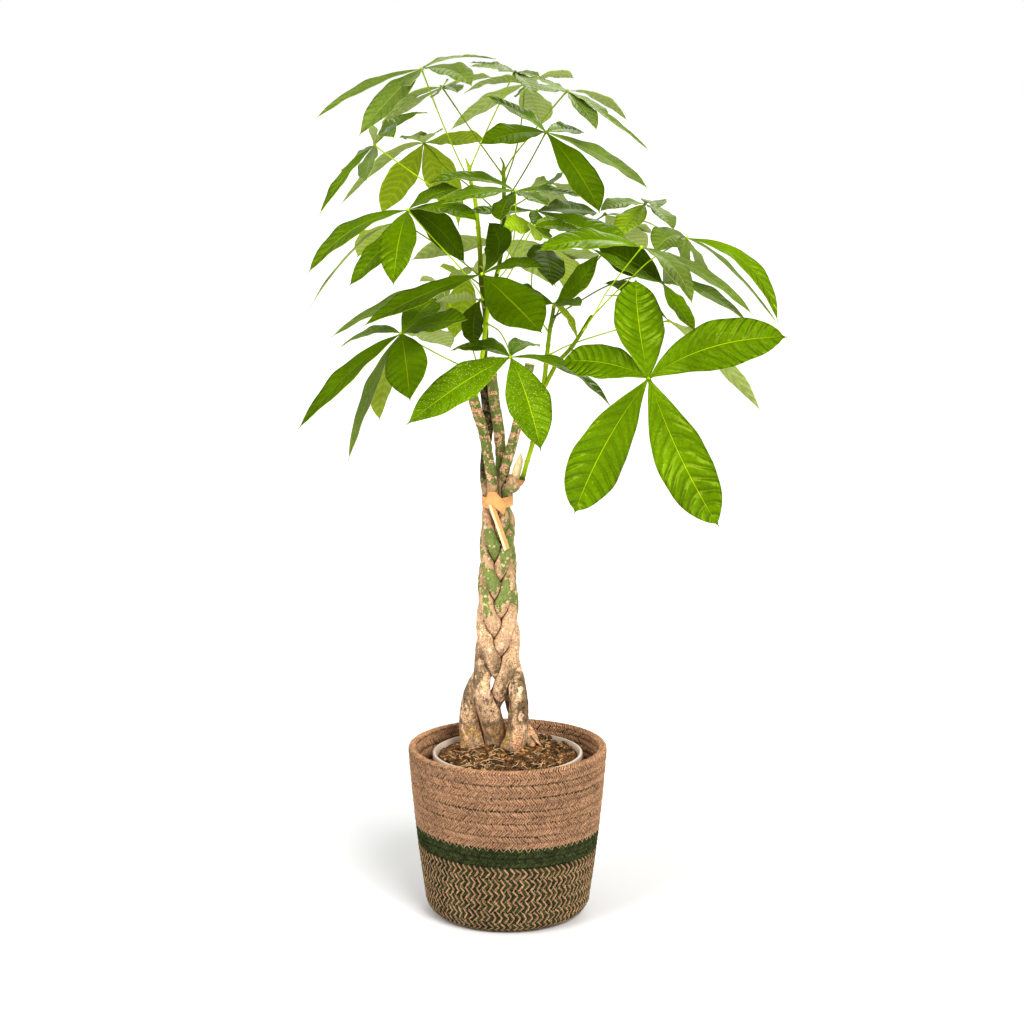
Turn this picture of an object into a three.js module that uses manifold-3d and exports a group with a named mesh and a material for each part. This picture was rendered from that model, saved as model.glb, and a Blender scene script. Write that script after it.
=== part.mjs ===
// Potted money tree: five plaited trunks with palmate leaves, in a plastic pot inside a corded basket.
// Millimetres, +Z up, origin in the middle of the basket's underside, -Y towards the viewer.

import * as THREE from 'three';
import { mergeVertices } from 'three/addons/utils/BufferGeometryUtils.js';
import Module from 'manifold-3d';

const wasm = await Module();
wasm.setup();

// Clearance between pieces that touch
const FIT = 0.3;

// Basket of sewn cord
const BASKET_HEIGHT = 174;
const BASKET_RIM_RADIUS = 100;
const BASKET_FOOT_RADIUS = 80.5;
const BASKET_BELLY = 7.9;
const BASKET_WALL = 7;
const BASKET_FLOOR = 8;
const BASKET_CORNER = 20;
const CORNER_STEPS = 4;
const FLOOR_FILLET = 8;
const RIM_ROUND = 3;
const BASKET_SIDES = 24;
const CORD_BULGE = 1.1;
const GREEN_TOP = 93;
const GREEN_FOOT = 73;
const TAN_ROWS = 6;
const GREEN_ROWS = 2;
const MIXED_ROWS = 4;

// Nursery pot
const POT_RIM_RADIUS = 76;
const POT_RIM_HEIGHT = 167;
const POT_RIM_LIP = 3.5;
const POT_RIM_DROP = 6;
const POT_RIM_ROUND = 1;
const POT_FOOT_RADIUS = 57;
const POT_WALL = 1.6;
const POT_SIDES = 24;

// Soil
const SOIL_HEIGHT = 162;
const SOIL_MOUND = 6;
const SOIL_BUMP = 0.8;
const SOIL_DRAFT = 0.2;
const SOIL_RINGS = [30, 58];

// Plaited trunks
const TRUNK_COUNT = 5;
const PLAIT_ACROSS = -10;
const PLAIT_BEHIND = 8;
const PLAIT_PERIOD = 195;
const PLAIT_CROSSING = 330;
const PLAIT_LAG = THREE.MathUtils.degToRad(30);
const PLAIT_FOOT = 255;
const PLAIT_TOP = 405;
const PLAIT_STEP = 25;
const PLAIT_DEPTH = 9;
const PLAIT_SPREAD = [15.5, 10.8];
const PLAIT_RADIUS = [8.5, 6];
const TRUNK_SIDES = 6;
const TRUNK_FLATNESS = 0.86;
const SHOOT_SIDES = 6;

// Raffia tie
const TIE_FOOT = 418;
const TIE_TOP = 431;
const TIE_WIDE = 15.5;
const TIE_DEEP = 16.5;
const TIE_BEHIND = 8;
const TIE_SIDES = 16;
const TIE_THICKNESS = 1.2;

// Leaves
const BLADE_THICKNESS = 0.9;
const BLADE_FOLD = Math.tan(THREE.MathUtils.degToRad(12));
const BLADE_WAVE = 0.9;
const STALK_RADIUS = 1.2;
const STALK_FOOT_RADIUS = 1.8;
const STALK_SIDES = 3;
const KNUCKLE_RADIUS = 3;
const LONG_BLADE = 125;
const SHORT_BLADE = 75;
const BLADE_PEAK = 1.3;
const BLADE_NECK = 0.07;
const WAVE_STEP = 2.6;
const CROWN_SPREAD = 0.004;

// Viewpoint that places are written from: seen(across, down, behind) is the point of the plant that shows
// that far across and down the picture of it, and lies that many millimetres behind the basket's axis.
const EYE = new THREE.Vector3(4.4, -2400, 858);
const EYE_TILT = THREE.MathUtils.degToRad(10.5);
const EYE_FOCUS = 2454;
const PICTURE_MIDDLE = 512;

function seen([across, down, behind]) {
  const rise = PICTURE_MIDDLE - down;
  const forward = EYE_FOCUS * Math.cos(EYE_TILT) + rise * Math.sin(EYE_TILT);
  const upward = rise * Math.cos(EYE_TILT) - EYE_FOCUS * Math.sin(EYE_TILT);
  const reach = (behind - EYE.y) / forward;
  return new THREE.Vector3(
    EYE.x + (across - PICTURE_MIDDLE) * reach,
    behind,
    EYE.z + upward * reach,
  );
}

// Solids

function closedGeometry(points, triangles) {
  const geometry = new THREE.BufferGeometry();
  geometry.setFromPoints(points);
  geometry.setIndex(triangles.flat());
  return geometry;
}

function solidOf(geometry) {
  const bare = geometry.clone();
  bare.deleteAttribute('normal');
  bare.deleteAttribute('uv');
  const merged = mergeVertices(bare, 1e-4);
  return new wasm.Manifold(new wasm.Mesh({
    numProp: 3,
    vertProperties: new Float32Array(merged.getAttribute('position').array),
    triVerts: new Uint32Array(merged.getIndex().array),
  }));
}

function largestBody(solid) {
  return solid.decompose().reduce((best, body) => (body.volume() > best.volume() ? body : best));
}

function geometryOf(solid) {
  const mesh = solid.getMesh();
  const geometry = new THREE.BufferGeometry();
  geometry.setAttribute('position', new THREE.Float32BufferAttribute(mesh.vertProperties, 3));
  geometry.setIndex(Array.from(mesh.triVerts));
  geometry.computeVertexNormals();
  return geometry;
}

// Skin over a row of rings that all have the same number of points, capped at both ends
function skin(rings) {
  const sides = rings[0].length;
  const triangles = [];
  for (let ring = 0; ring < rings.length - 1; ring += 1) {
    for (let side = 0; side < sides; side += 1) {
      const here = ring * sides + side;
      const next = ring * sides + (side + 1) % sides;
      triangles.push([here, next, next + sides], [here, next + sides, here + sides]);
    }
  }
  const last = (rings.length - 1) * sides;
  for (let side = 1; side < sides - 1; side += 1) {
    triangles.push([0, side + 1, side], [last, last + side, last + side + 1]);
  }
  return closedGeometry(rings.flat(), triangles);
}

// Tube through points, with a radius at each; flatness squeezes it front to back
function tube(points, radii, sides, swell = 0, flatness = 1) {
  const rings = [];
  let across = new THREE.Vector3(1, 0, 0);
  points.forEach((point, place) => {
    const before = points[Math.max(place - 1, 0)];
    const after = points[Math.min(place + 1, points.length - 1)];
    const along = after.clone().sub(before).normalize();
    across = across.clone().addScaledVector(along, -across.dot(along)).normalize();
    const outward = along.clone().cross(across);
    const ring = [];
    for (let side = 0; side < sides; side += 1) {
      const turn = (side / sides) * Math.PI * 2;
      const wide = Math.cos(turn) * (radii[place] + swell);
      const deep = Math.sin(turn) * (radii[place] * flatness + swell);
      ring.push(point.clone().addScaledVector(across, wide).addScaledVector(outward, deep));
    }
    rings.push(ring);
  });
  return solidOf(skin(rings));
}

function turned(profile, sides) {
  const points = [...profile, profile[0]].map(([radius, height]) => new THREE.Vector2(radius, height));
  return new THREE.LatheGeometry(points, sides).rotateX(Math.PI / 2);
}

// Basket

function basketRadius(height) {
  const share = height / BASKET_HEIGHT;
  const straight = BASKET_FOOT_RADIUS + (BASKET_RIM_RADIUS - BASKET_FOOT_RADIUS) * share;
  return straight + BASKET_BELLY * share * (1 - share);
}

// Outside of a stretch of wall, with one bulge for each row of cord
function cordRows(foot, top, rows) {
  const outline = [];
  const pitch = (top - foot) / rows;
  for (let row = 0; row < rows; row += 1) {
    const groove = foot + row * pitch;
    const crown = groove + pitch / 2;
    outline.push([basketRadius(groove) - CORD_BULGE, groove]);
    outline.push([basketRadius(crown), crown]);
  }
  outline.push([basketRadius(top) - CORD_BULGE, top]);
  return outline;
}

function basketTan() {
  const outside = cordRows(GREEN_TOP, BASKET_HEIGHT - RIM_ROUND, TAN_ROWS);
  const lip = [
    [BASKET_RIM_RADIUS - RIM_ROUND, BASKET_HEIGHT],
    [BASKET_RIM_RADIUS - BASKET_WALL + RIM_ROUND / 2, BASKET_HEIGHT],
    [BASKET_RIM_RADIUS - BASKET_WALL, BASKET_HEIGHT - RIM_ROUND],
  ];
  const inside = [[basketRadius(GREEN_TOP) - BASKET_WALL, GREEN_TOP]];
  return turned([...outside, ...lip, ...inside], BASKET_SIDES);
}

function basketGreen() {
  const outside = cordRows(GREEN_FOOT, GREEN_TOP, GREEN_ROWS);
  const inside = [
    [basketRadius(GREEN_TOP) - BASKET_WALL, GREEN_TOP],
    [basketRadius(GREEN_FOOT) - BASKET_WALL, GREEN_FOOT],
  ];
  return turned([...outside, ...inside], BASKET_SIDES);
}

function basketMixed() {
  const cornerRadius = basketRadius(BASKET_CORNER) - CORD_BULGE;
  const underside = [];
  for (let step = 0; step < CORNER_STEPS; step += 1) {
    const turn = (step / CORNER_STEPS) * (Math.PI / 2);
    const reach = BASKET_CORNER * Math.sin(turn);
    underside.push([cornerRadius - BASKET_CORNER + reach, BASKET_CORNER * (1 - Math.cos(turn))]);
  }
  const outside = cordRows(BASKET_CORNER, GREEN_FOOT, MIXED_ROWS);
  const inside = [
    [basketRadius(GREEN_FOOT) - BASKET_WALL, GREEN_FOOT],
    [cornerRadius - BASKET_WALL, BASKET_CORNER],
    [cornerRadius - BASKET_WALL - FLOOR_FILLET, BASKET_FLOOR],
    [0, BASKET_FLOOR],
  ];
  return turned([[0, 0], ...underside, ...outside, ...inside], BASKET_SIDES);
}

// Nursery pot

function potRadius(height) {
  const foot = BASKET_FLOOR + FIT;
  const top = POT_RIM_RADIUS - POT_RIM_LIP + POT_WALL / 2;
  return THREE.MathUtils.mapLinear(height, foot, POT_RIM_HEIGHT, POT_FOOT_RADIUS, top);
}

function nurseryPot() {
  const foot = BASKET_FLOOR + FIT;
  const neck = POT_RIM_HEIGHT - POT_RIM_DROP;
  const profile = [
    [0, foot],
    [POT_FOOT_RADIUS, foot],
    [potRadius(neck), neck],
    [POT_RIM_RADIUS - POT_RIM_ROUND, neck],
    [POT_RIM_RADIUS, POT_RIM_HEIGHT - POT_RIM_ROUND],
    [POT_RIM_RADIUS - POT_RIM_ROUND, POT_RIM_HEIGHT],
    [POT_RIM_RADIUS - POT_RIM_LIP, POT_RIM_HEIGHT],
    [potRadius(neck) - POT_WALL, neck],
    [POT_FOOT_RADIUS - POT_WALL, foot + POT_WALL],
    [0, foot + POT_WALL],
  ];
  return turned(profile, POT_SIDES);
}

// Trunks: where each foot stands in the soil, how it reaches the plait, and how its sawn top leaves the tie

const TRUNKS = [
  {
    name: 'trunk_back',
    foot: [
      [-9, 44, 128, 9], [-9, 44, 165, 10], [-14, 33, 192, 9],
      [-16, 21, 208, 8.6], [-8, 6, 228, 8.6],
    ],
    top: [[-8, 5, 424, 5.4], [-6, 6, 442, 5.2], [-1, 3, 462, 5], [8, 0, 494, 5]],
    end: [[523, 400, -2, 4.8], [530, 364, -3, 4.6]],
  },
  {
    name: 'trunk_left',
    foot: [
      [-37, 25, 128, 11], [-37, 25, 165, 12], [-39, 21, 190, 11],
      [-38, 17, 210, 10], [-33, 16, 230, 9.2],
    ],
    top: [[-19.5, 12, 424, 5.2], [-23, 13, 446, 4.6], [-21, 17, 478, 4.6], [-19, 18, 500, 4.8]],
    end: [[486, 400, 18, 4.8], [483, 362, 18, 4.4]],
  },
  {
    name: 'trunk_middle',
    foot: [
      [-14, 28, 128, 9], [-14, 27, 165, 9.6], [-16, 16, 195, 10.6],
      [-23, 5, 215, 9.6], [-26, 0, 232, 8.8],
    ],
    top: [[-15, 0, 424, 5.4], [-15, -1, 440, 5.2], [-19, -2, 468, 5.2], [-24, -5, 496, 5.2]],
    end: [[476, 408, -8, 5.2], [464.5, 363, -10, 4.6]],
  },
  {
    name: 'trunk_right',
    foot: [
      [20, 33, 128, 10], [20, 33, 165, 11], [19, 28, 188, 9.6],
      [13, 23, 206, 8.8], [3, 15, 228, 8.6],
    ],
    top: [[-8, 17.5, 424, 5.4], [-7, 16, 442, 5.2], [-7, 11, 475, 5.2], [-10, 9, 505, 5.4]],
    end: [[494, 399, 7, 5.4], [490, 357, 6, 4.8]],
  },
  {
    name: 'trunk_front',
    foot: [
      [4, 9, 128, 11.5], [4, 9, 165, 12.5], [8, 3, 190, 10.6],
      [10, 0, 210, 10], [10, -2, 230, 9.4],
    ],
    top: [[0, 1, 424, 5.6], [0.5, 1, 436, 6], [2, 0, 449, 6.4]],
    end: [[521, 454, -2, 1]],
  },
];

function plaitRadius(height) {
  return THREE.MathUtils.mapLinear(height, PLAIT_FOOT, PLAIT_TOP, ...PLAIT_RADIUS);
}

function plaitPoint(trunk, height) {
  const phase = ((PLAIT_CROSSING - height) / PLAIT_PERIOD + trunk / TRUNK_COUNT) * Math.PI * 2;
  const spread = THREE.MathUtils.mapLinear(height, PLAIT_FOOT, PLAIT_TOP, ...PLAIT_SPREAD);
  return new THREE.Vector3(
    PLAIT_ACROSS + spread * Math.sin(phase),
    PLAIT_BEHIND + PLAIT_DEPTH * Math.sin(2 * phase - PLAIT_LAG),
    height,
  );
}

function trunkRoute(trunk, place) {
  const points = [];
  const radii = [];
  trunk.foot.forEach(([x, y, z, radius]) => {
    points.push(new THREE.Vector3(x, y, z));
    radii.push(radius);
  });
  for (let height = PLAIT_FOOT; height <= PLAIT_TOP; height += PLAIT_STEP) {
    points.push(plaitPoint(place, height));
    radii.push(plaitRadius(height));
  }
  trunk.top.forEach(([x, y, z, radius]) => {
    points.push(new THREE.Vector3(x, y, z));
    radii.push(radius);
  });
  trunk.end.forEach(([across, down, behind, radius]) => {
    points.push(seen([across, down, behind]));
    radii.push(radius);
  });
  return { points, radii };
}

function trunkSolid(route, swell) {
  return tube(route.points, route.radii, TRUNK_SIDES, swell, TRUNK_FLATNESS);
}

// Green shoots that grow out of the sawn trunks: places as seen, then the radius there

const SHOOTS = [
  {
    name: 'shoot_left',
    route: [
      [475, 409, -8, 2], [475.5, 398, -9, 2.4], [479, 375, -9, 2.3], [483, 350, -7, 2.2], [487, 315, -5, 2.2],
      [493, 288, -1, 2.1], [498, 270, 2, 2.1], [502, 247, 4, 2], [504, 222, 5, 2], [504, 198, 5, 1.9],
      [503.5, 173, 5, 1.8], [503.5, 164, 5, 1], [500, 157, 5, 0.5],
    ],
  },
  {
    name: 'shoot_middle',
    route: [
      [484, 372, 18, 2], [485, 354, 19, 2.4], [486, 330, 18, 2.4], [484, 303, 17, 2.4], [481, 278, 16, 2.4],
      [480, 252, 15, 2.3], [478, 226, 14, 2.2], [475, 200, 13, 2], [471, 182, 12, 1.9], [469, 168, 12, 1.6],
      [465.5, 158, 12, 0.5],
    ],
  },
  {
    name: 'shoot_right',
    route: [
      [513, 486, -3, 2], [522, 481, -5, 2.6], [529, 465, -8, 2.3], [535, 444, -8, 2.3], [540, 415, -6, 2.3],
      [544, 384, -4, 2.3], [547, 355, -2, 2.1], [550, 330, 0, 2], [553.5, 309, 0, 1.8], [554, 305, 0, 1.5],
    ],
  },
  {
    name: 'shoot_outer',
    route: [
      [543.5, 389, -5, 1.8], [550, 376, -7, 2.1], [558, 362, -9, 2], [571, 348, -11, 1.9],
      [583, 330, -13, 1.8], [590, 318, -14, 1.6], [592, 315, -14, 0.8],
    ],
  },
];

function shootPath(shoot) {
  return { points: shoot.route.map(seen), radii: shoot.route.map((place) => place[3]) };
}

// Point on a shoot's middle line where it shows that far down the picture
function onShoot(name, down) {
  const { route } = SHOOTS.find((shoot) => shoot.name === name);
  const above = route.findIndex((place) => place[1] <= down);
  const low = route[Math.max(above - 1, 0)];
  const high = route[above];
  const share = (low[1] - down) / (low[1] - high[1]);
  return seen([0, 1, 2].map((axis) => low[axis] + (high[axis] - low[axis]) * share));
}

// Leaves. Each has its knuckle, the places its stalk passes on the way down, and the shoot it joins and how
// far down. Each leaflet is a midrib through the middle place to the tip, then how far the tip lies behind,
// the blade's width, and how much of its upper face shows, from 1 for all of it to -1 for the underside.

const LEAVES = [
  {
    name: 'leaf_01',
    knuckle: [421.5, 69, -40],
    stalk: [[440, 117, -22], [459, 160, -4]],
    joins: ['shoot_middle', 186],
    leaflets: [
      [367, 86, 315, 119, -40, 24, 0.4],
      [393, 95, 358.5, 136, -100, 30, 0.75],
      [450, 70, 472, 86, -105, 30, 0.5],
      [455, 57.5, 496, 59, 20, 20, 0.08],
      [416, 76, 409.5, 86, -100, 26, 0.3],
    ],
  },
  {
    name: 'leaf_02',
    knuckle: [442, 87, 50],
    stalk: [[463, 118, 34], [482, 146, 18]],
    joins: ['shoot_left', 176],
    leaflets: [
      [408, 100, 379, 134, 60, 26, -0.45],
      [405, 109, 381, 127, 110, 26, -0.4],
      [441, 89, 438, 93.5, -30, 24, 0.2],
      [451, 87, 457.5, 92.5, -10, 22, 0.4],
      [465, 80, 492, 77, 90, 22, -0.25],
    ],
  },
  {
    name: 'leaf_03',
    knuckle: [374.5, 145.5, -30],
    stalk: [[400, 164, -26], [434, 188, -12], [461, 208, 2]],
    joins: ['shoot_middle', 221],
    leaflets: [
      [347, 172, 319, 215, -60, 28, 0.4],
      [356, 158, 342, 172, 50, 22, 0.1],
      [369, 162, 366, 181, -110, 32, 0.5],
      [373, 137, 378, 129, 60, 22, -0.4],
      [400, 120, 429, 113, 50, 26, 0.35],
      [386, 131, 394, 138, -100, 20, 0.25],
    ],
  },
  {
    name: 'leaf_04',
    knuckle: [424, 143, 100],
    stalk: [[443, 165, 84], [470, 187, 50], [492, 207, 20]],
    joins: ['shoot_left', 219],
    leaflets: [
      [388, 158, 340, 205, 95, 28, -0.45],
      [402, 178, 381, 214, 150, 38, -0.85],
      [436, 178, 446, 210, 160, 34, -0.85],
      [447, 172, 459, 228, 130, 36, -0.6],
      [455, 139, 486, 141, 150, 34, -0.5],
      [431, 135, 438, 132, 40, 24, -0.3],
      [414, 136, 405, 139.5, 40, 26, -0.35],
    ],
  },
  {
    name: 'leaf_05',
    knuckle: [408, 210, -40],
    stalk: [[430, 235, -32], [455, 262, -18], [476, 287, -2]],
    joins: ['shoot_middle', 301],
    leaflets: [
      [352, 230, 308, 273, -70, 30, 0.5],
      [399, 240, 393, 286, -100, 36, 0.92],
      [437, 230, 465, 264, -4, 42, 0.85],
      [445, 208, 478, 221, -90, 26, 0.5],
      [432, 195, 460, 189, -46, 28, 0.45],
    ],
  },
  {
    name: 'leaf_06',
    knuckle: [402, 222, 10],
    stalk: [[430, 240, 12], [456, 257, 14]],
    joins: ['shoot_middle', 277],
    leaflets: [
      [378, 252, 349, 286, -20, 32, 0.7],
      [358, 246, 309, 308, 20, 20, 0.08],
      [378, 236, 357, 257, 90, 34, -0.65],
    ],
  },
  {
    name: 'leaf_07',
    knuckle: [482, 274, -70],
    stalk: [[484, 270, -40]],
    joins: ['shoot_middle', 266],
    leaflets: [
      [425, 294, 363, 326, -110, 34, 0.5],
      [400, 300, 331, 337, -45, 30, 0.35],
      [513, 303, 542, 333, -140, 52, 0.88],
      [497, 250, 499, 222, -10, 38, 0.8],
      [515, 264, 541, 268, -90, 24, 0.4],
    ],
  },
  {
    name: 'leaf_08',
    knuckle: [401, 333.4, -60],
    stalk: [[430, 350, -40]],
    joins: ['trunk_middle', 368],
    leaflets: [
      [350, 370, 298, 429, -70, 32, 0.6],
      [370, 390, 350, 461, -40, 32, 0.45],
      [384, 380, 379.5, 420, 40, 34, -0.75],
      [406, 362, 410, 401, -130, 46, 0.95],
      [372, 331.5, 339, 348, 10, 26, 0.4],
      [435, 323, 468, 319.5, -110, 34, 0.5],
      [420, 312, 436, 298, 0, 34, 0.75],
      [432, 336, 451, 348, 30, 30, -0.5],
    ],
  },
  {
    name: 'leaf_09',
    knuckle: [510.5, 357, -90],
    stalk: [[507, 345, -64], [499, 331, -34]],
    joins: ['shoot_left', 323],
    leaflets: [
      [463, 383, 406, 425, -110, 40, 0.85],
      [527, 398, 541, 451, -130, 44, 0.92],
      [566, 368, 612, 408, -80, 30, 0.3],
      [481, 346, 450, 351, -20, 30, 0.42],
      [522, 344, 541, 347, -20, 24, 0.5],
    ],
  },
  {
    name: 'leaf_10',
    knuckle: [648.7, 378.2, -150],
    stalk: [[627, 363, -110], [598, 352, -56]],
    joins: ['shoot_outer', 350],
    leaflets: [
      [639, 325, 636, 279, -95, 50, 0.93],
      [712, 347, 787, 337, -150, 54, 0.92],
      [680, 458, 718.5, 526, -165, 62, 0.96],
      [604, 445, 575, 513, -165, 52, 0.94],
      [605, 363, 561, 362, -110, 40, 0.82],
    ],
  },
  {
    name: 'leaf_11',
    knuckle: [546, 132, -60],
    stalk: [[531, 160, -36], [518, 182, -14]],
    joins: ['shoot_left', 204],
    leaflets: [
      [513, 134, 480, 144, -110, 30, 0.65],
      [520, 113, 484, 95, -20, 26, 0.35],
      [565, 129, 585, 133, 0, 22, 0.45],
      [601, 156, 649, 189, -60, 28, 0.4],
      [578, 172, 600, 213, -110, 36, 0.78],
    ],
  },
  {
    name: 'leaf_12',
    knuckle: [515.5, 190.8, -50],
    stalk: [[515.5, 215, -40], [513.5, 240, -22], [506, 260, -8]],
    joins: ['shoot_left', 274],
    leaflets: [
      [480, 193, 441, 204, -100, 28, 0.42],
      [470, 177, 426, 185, -40, 28, 0.32],
      [550, 191, 585, 197, -40, 26, 0.28],
      [532, 197, 548, 206, -120, 26, 0.4],
      [505, 205, 501, 221, -75, 28, 0.6],
    ],
  },
  {
    name: 'leaf_13',
    knuckle: [537, 210.7, -20],
    stalk: [[530, 224, -20], [517, 247, -14], [508, 267, -8]],
    joins: ['shoot_left', 283],
    leaflets: [
      [500, 211, 463, 212, -20, 26, 0.3],
      [570, 209, 598, 213, 30, 34, 0.42],
      [588, 230, 632, 246, -50, 42, 0.55],
      [538, 222, 541, 238, -50, 28, 0.6],
    ],
  },
  {
    name: 'leaf_14',
    knuckle: [534, 226, -75],
    stalk: [[526, 240, -54], [516, 262, -32], [505, 281, -14]],
    joins: ['shoot_left', 292],
    leaflets: [
      [519, 225, 503.5, 226, -100, 22, 0.78],
      [556, 226, 579, 229, -64, 20, 0.5],
      [534, 232, 535, 240, -105, 20, 0.6],
      [542, 233, 553, 236, -60, 16, 0.5],
      [547, 221, 558, 219, -45, 14, 0.5],
    ],
  },
  {
    name: 'leaf_15',
    knuckle: [641.5, 247.2, -80],
    stalk: [[625, 268, -64], [606, 293, -38], [594, 315, -26]],
    joins: ['shoot_outer', 331],
    leaflets: [
      [590, 240, 537, 251, -110, 36, 0.5],
      [672, 266, 692.5, 304, -140, 32, 0.62],
      [703, 275, 753, 315, -70, 30, 0.45],
    ],
  },
  {
    name: 'leaf_16',
    knuckle: [687, 238, -20],
    stalk: [[652, 259, -30], [630, 279, -26], [611, 297, -20]],
    joins: ['shoot_outer', 321],
    leaflets: [
      [745, 264, 776, 322, -50, 32, 0.65],
      [730, 268, 782, 327, 10, 22, 0.14],
      [670, 237, 655, 252, -46, 36, 0.7],
      [683, 248, 681, 260, -42, 28, 0.6],
      [697, 258, 709, 283, 40, 24, -0.35],
    ],
  },
  {
    name: 'leaf_17',
    knuckle: [567, 91, -10],
    stalk: [[550, 111, -6], [525, 142, 0], [513, 157, 4]],
    joins: ['shoot_left', 172],
    leaflets: [
      [582, 107, 597, 130, -90, 30, 0.6],
      [610, 120, 650, 151, -20, 18, 0.28],
      [597, 99, 628, 121, 50, 26, -0.4],
      [590, 103, 611, 120, -70, 18, 0.3],
      [548, 83, 527, 74, 30, 20, 0.18],
      [550, 89, 531, 90, -60, 24, 0.28],
    ],
  },
  {
    name: 'leaf_18',
    knuckle: [525, 84, 60],
    stalk: [[521, 125, 36], [514, 157, 18]],
    joins: ['shoot_left', 186],
    leaflets: [
      [490, 102, 450, 130, 60, 30, -0.5],
      [497, 81, 464, 93, 30, 24, -0.28],
      [534, 106, 539, 126, 150, 44, -0.9],
      [552, 75, 574, 78, 110, 28, -0.35],
      [524, 90, 518, 95, 0, 20, 0.3],
    ],
  },
  {
    name: 'leaf_19',
    knuckle: [514.5, 72, -20],
    stalk: [[505, 92, -14], [487, 130, -2]],
    joins: ['shoot_middle', 170],
    leaflets: [
      [492, 65, 470, 62.5, 30, 20, 0.18],
      [493, 68, 470, 66, -30, 20, 0.15],
      [508, 70, 499, 71.5, -110, 20, 0.25],
      [525, 80, 535, 95, -110, 30, 0.6],
      [526, 73, 540, 77, -60, 20, 0.28],
    ],
  },
  {
    name: 'leaf_20',
    knuckle: [480, 300, -12],
    stalk: [],
    joins: ['shoot_middle', 308],
    leaflets: [
      [477, 325, 474, 350, -16, 38, 0.75],
      [456, 299, 435, 301, -50, 26, -0.35],
    ],
  },
  {
    name: 'leaf_21',
    knuckle: [440, 284, 30],
    stalk: [[446, 297, 26], [456, 316, 18], [470, 342, 4]],
    joins: ['shoot_left', 372],
    leaflets: [
      [430, 279, 419.5, 281.5, 90, 24, -0.45],
      [459, 276, 474, 267, 24, 24, -0.35],
      [441, 302, 448, 318, 90, 34, -0.7],
    ],
  },
  {
    name: 'leaf_22',
    knuckle: [463, 272, 48],
    stalk: [],
    joins: ['shoot_middle', 286],
    leaflets: [
      [462, 302, 452, 341, 62, 38, -0.75],
      [452, 270, 440, 266, 110, 24, -0.5],
    ],
  },
  {
    name: 'leaf_23',
    knuckle: [663, 283, 5],
    stalk: [[640, 276, 6], [607, 286, 4], [580, 301, 0]],
    joins: ['shoot_right', 318],
    leaflets: [
      [630, 270, 591, 248, -5, 22, 0.4],
      [677, 305, 696, 332, -20, 34, 0.6],
      [632, 262, 596, 245, 30, 38, 0.8],
      [703, 291, 748, 322, 10, 32, 0.45],
      [667, 270, 674, 255, 60, 30, 0.6],
    ],
  },
  {
    name: 'leaf_24',
    knuckle: [669, 321, 30],
    stalk: [[645, 324, 26], [616, 330, 18], [572, 344, 6]],
    joins: ['shoot_right', 356],
    leaflets: [
      [718, 360, 761, 411, 30, 34, -0.65],
      [635, 293, 604, 283, 30, 24, 0.45],
      [640, 302, 604, 295, 60, 18, 0.1],
      [683, 329, 698, 346, 75, 26, -0.3],
    ],
  },
  {
    name: 'leaf_25',
    knuckle: [554, 304, -6],
    stalk: [],
    joins: ['shoot_right', 308],
    leaflets: [
      [578, 283, 599, 254, -20, 26, 0.75],
      [568, 303, 581, 305.5, -60, 22, 0.4],
      [568, 318, 577.5, 340, -24, 18, -0.35],
      [530, 296, 505, 288, -20, 32, 0.5],
    ],
  },
  {
    name: 'leaf_26',
    knuckle: [545, 243, 10],
    stalk: [[534, 262, 14], [532, 292, 12], [541, 320, 6]],
    joins: ['shoot_right', 333],
    leaflets: [
      [548, 262, 552.5, 286, -60, 40, 0.85],
      [575, 256, 600, 256, 60, 30, -0.42],
      [565, 266, 563, 288, 100, 36, -0.75],
      [539, 252, 534, 266, 0, 26, 0.7],
    ],
  },
  {
    name: 'leaf_27',
    knuckle: [500, 243, 60],
    stalk: [],
    joins: ['shoot_left', 256],
    leaflets: [
      [455, 245, 411.5, 260, 90, 34, -0.8],
      [530, 255, 556, 287, 120, 40, -0.8],
      [487, 260, 484, 276, 130, 28, -0.6],
      [508, 226, 510, 214, 110, 26, -0.6],
    ],
  },
  {
    name: 'leaf_28',
    knuckle: [605, 214, 40],
    stalk: [[598, 219, 40], [570, 234, 44], [545, 249, 40], [524, 261, 22]],
    joins: ['shoot_left', 268],
    leaflets: [
      [632, 218, 660, 228, 60, 16, 0.15],
      [625, 232, 648, 249, 110, 34, -0.65],
      [632, 226, 651, 233, 90, 24, -0.35],
    ],
  },
  {
    name: 'leaf_29',
    knuckle: [645, 204, 30],
    stalk: [[624, 226, 40], [596, 262, 30], [566, 298, 18]],
    joins: ['shoot_right', 328],
    leaflets: [
      [622, 203, 600, 211, 0, 26, 0.4],
      [632, 218, 618, 237, -30, 28, 0.8],
      [661, 213, 674, 230, -20, 24, 0.45],
      [653, 201, 658, 209, -60, 24, 0.3],
    ],
  },
  {
    name: 'leaf_30',
    knuckle: [547, 182, 70],
    stalk: [[530, 196, 50]],
    joins: ['shoot_left', 212],
    leaflets: [
      [538, 186, 528, 190, 45, 26, -0.5],
      [572, 190, 594, 199, 90, 20, -0.4],
      [552, 196, 555, 210, 130, 36, -0.75],
      [555, 180, 561, 177, 20, 20, 0.4],
    ],
  },
];

// Half-width of a blade along its midrib, as a share of its widest place
function bladeOutline(share) {
  return Math.max(Math.sin(Math.PI * share ** BLADE_PEAK), BLADE_NECK);
}

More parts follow.
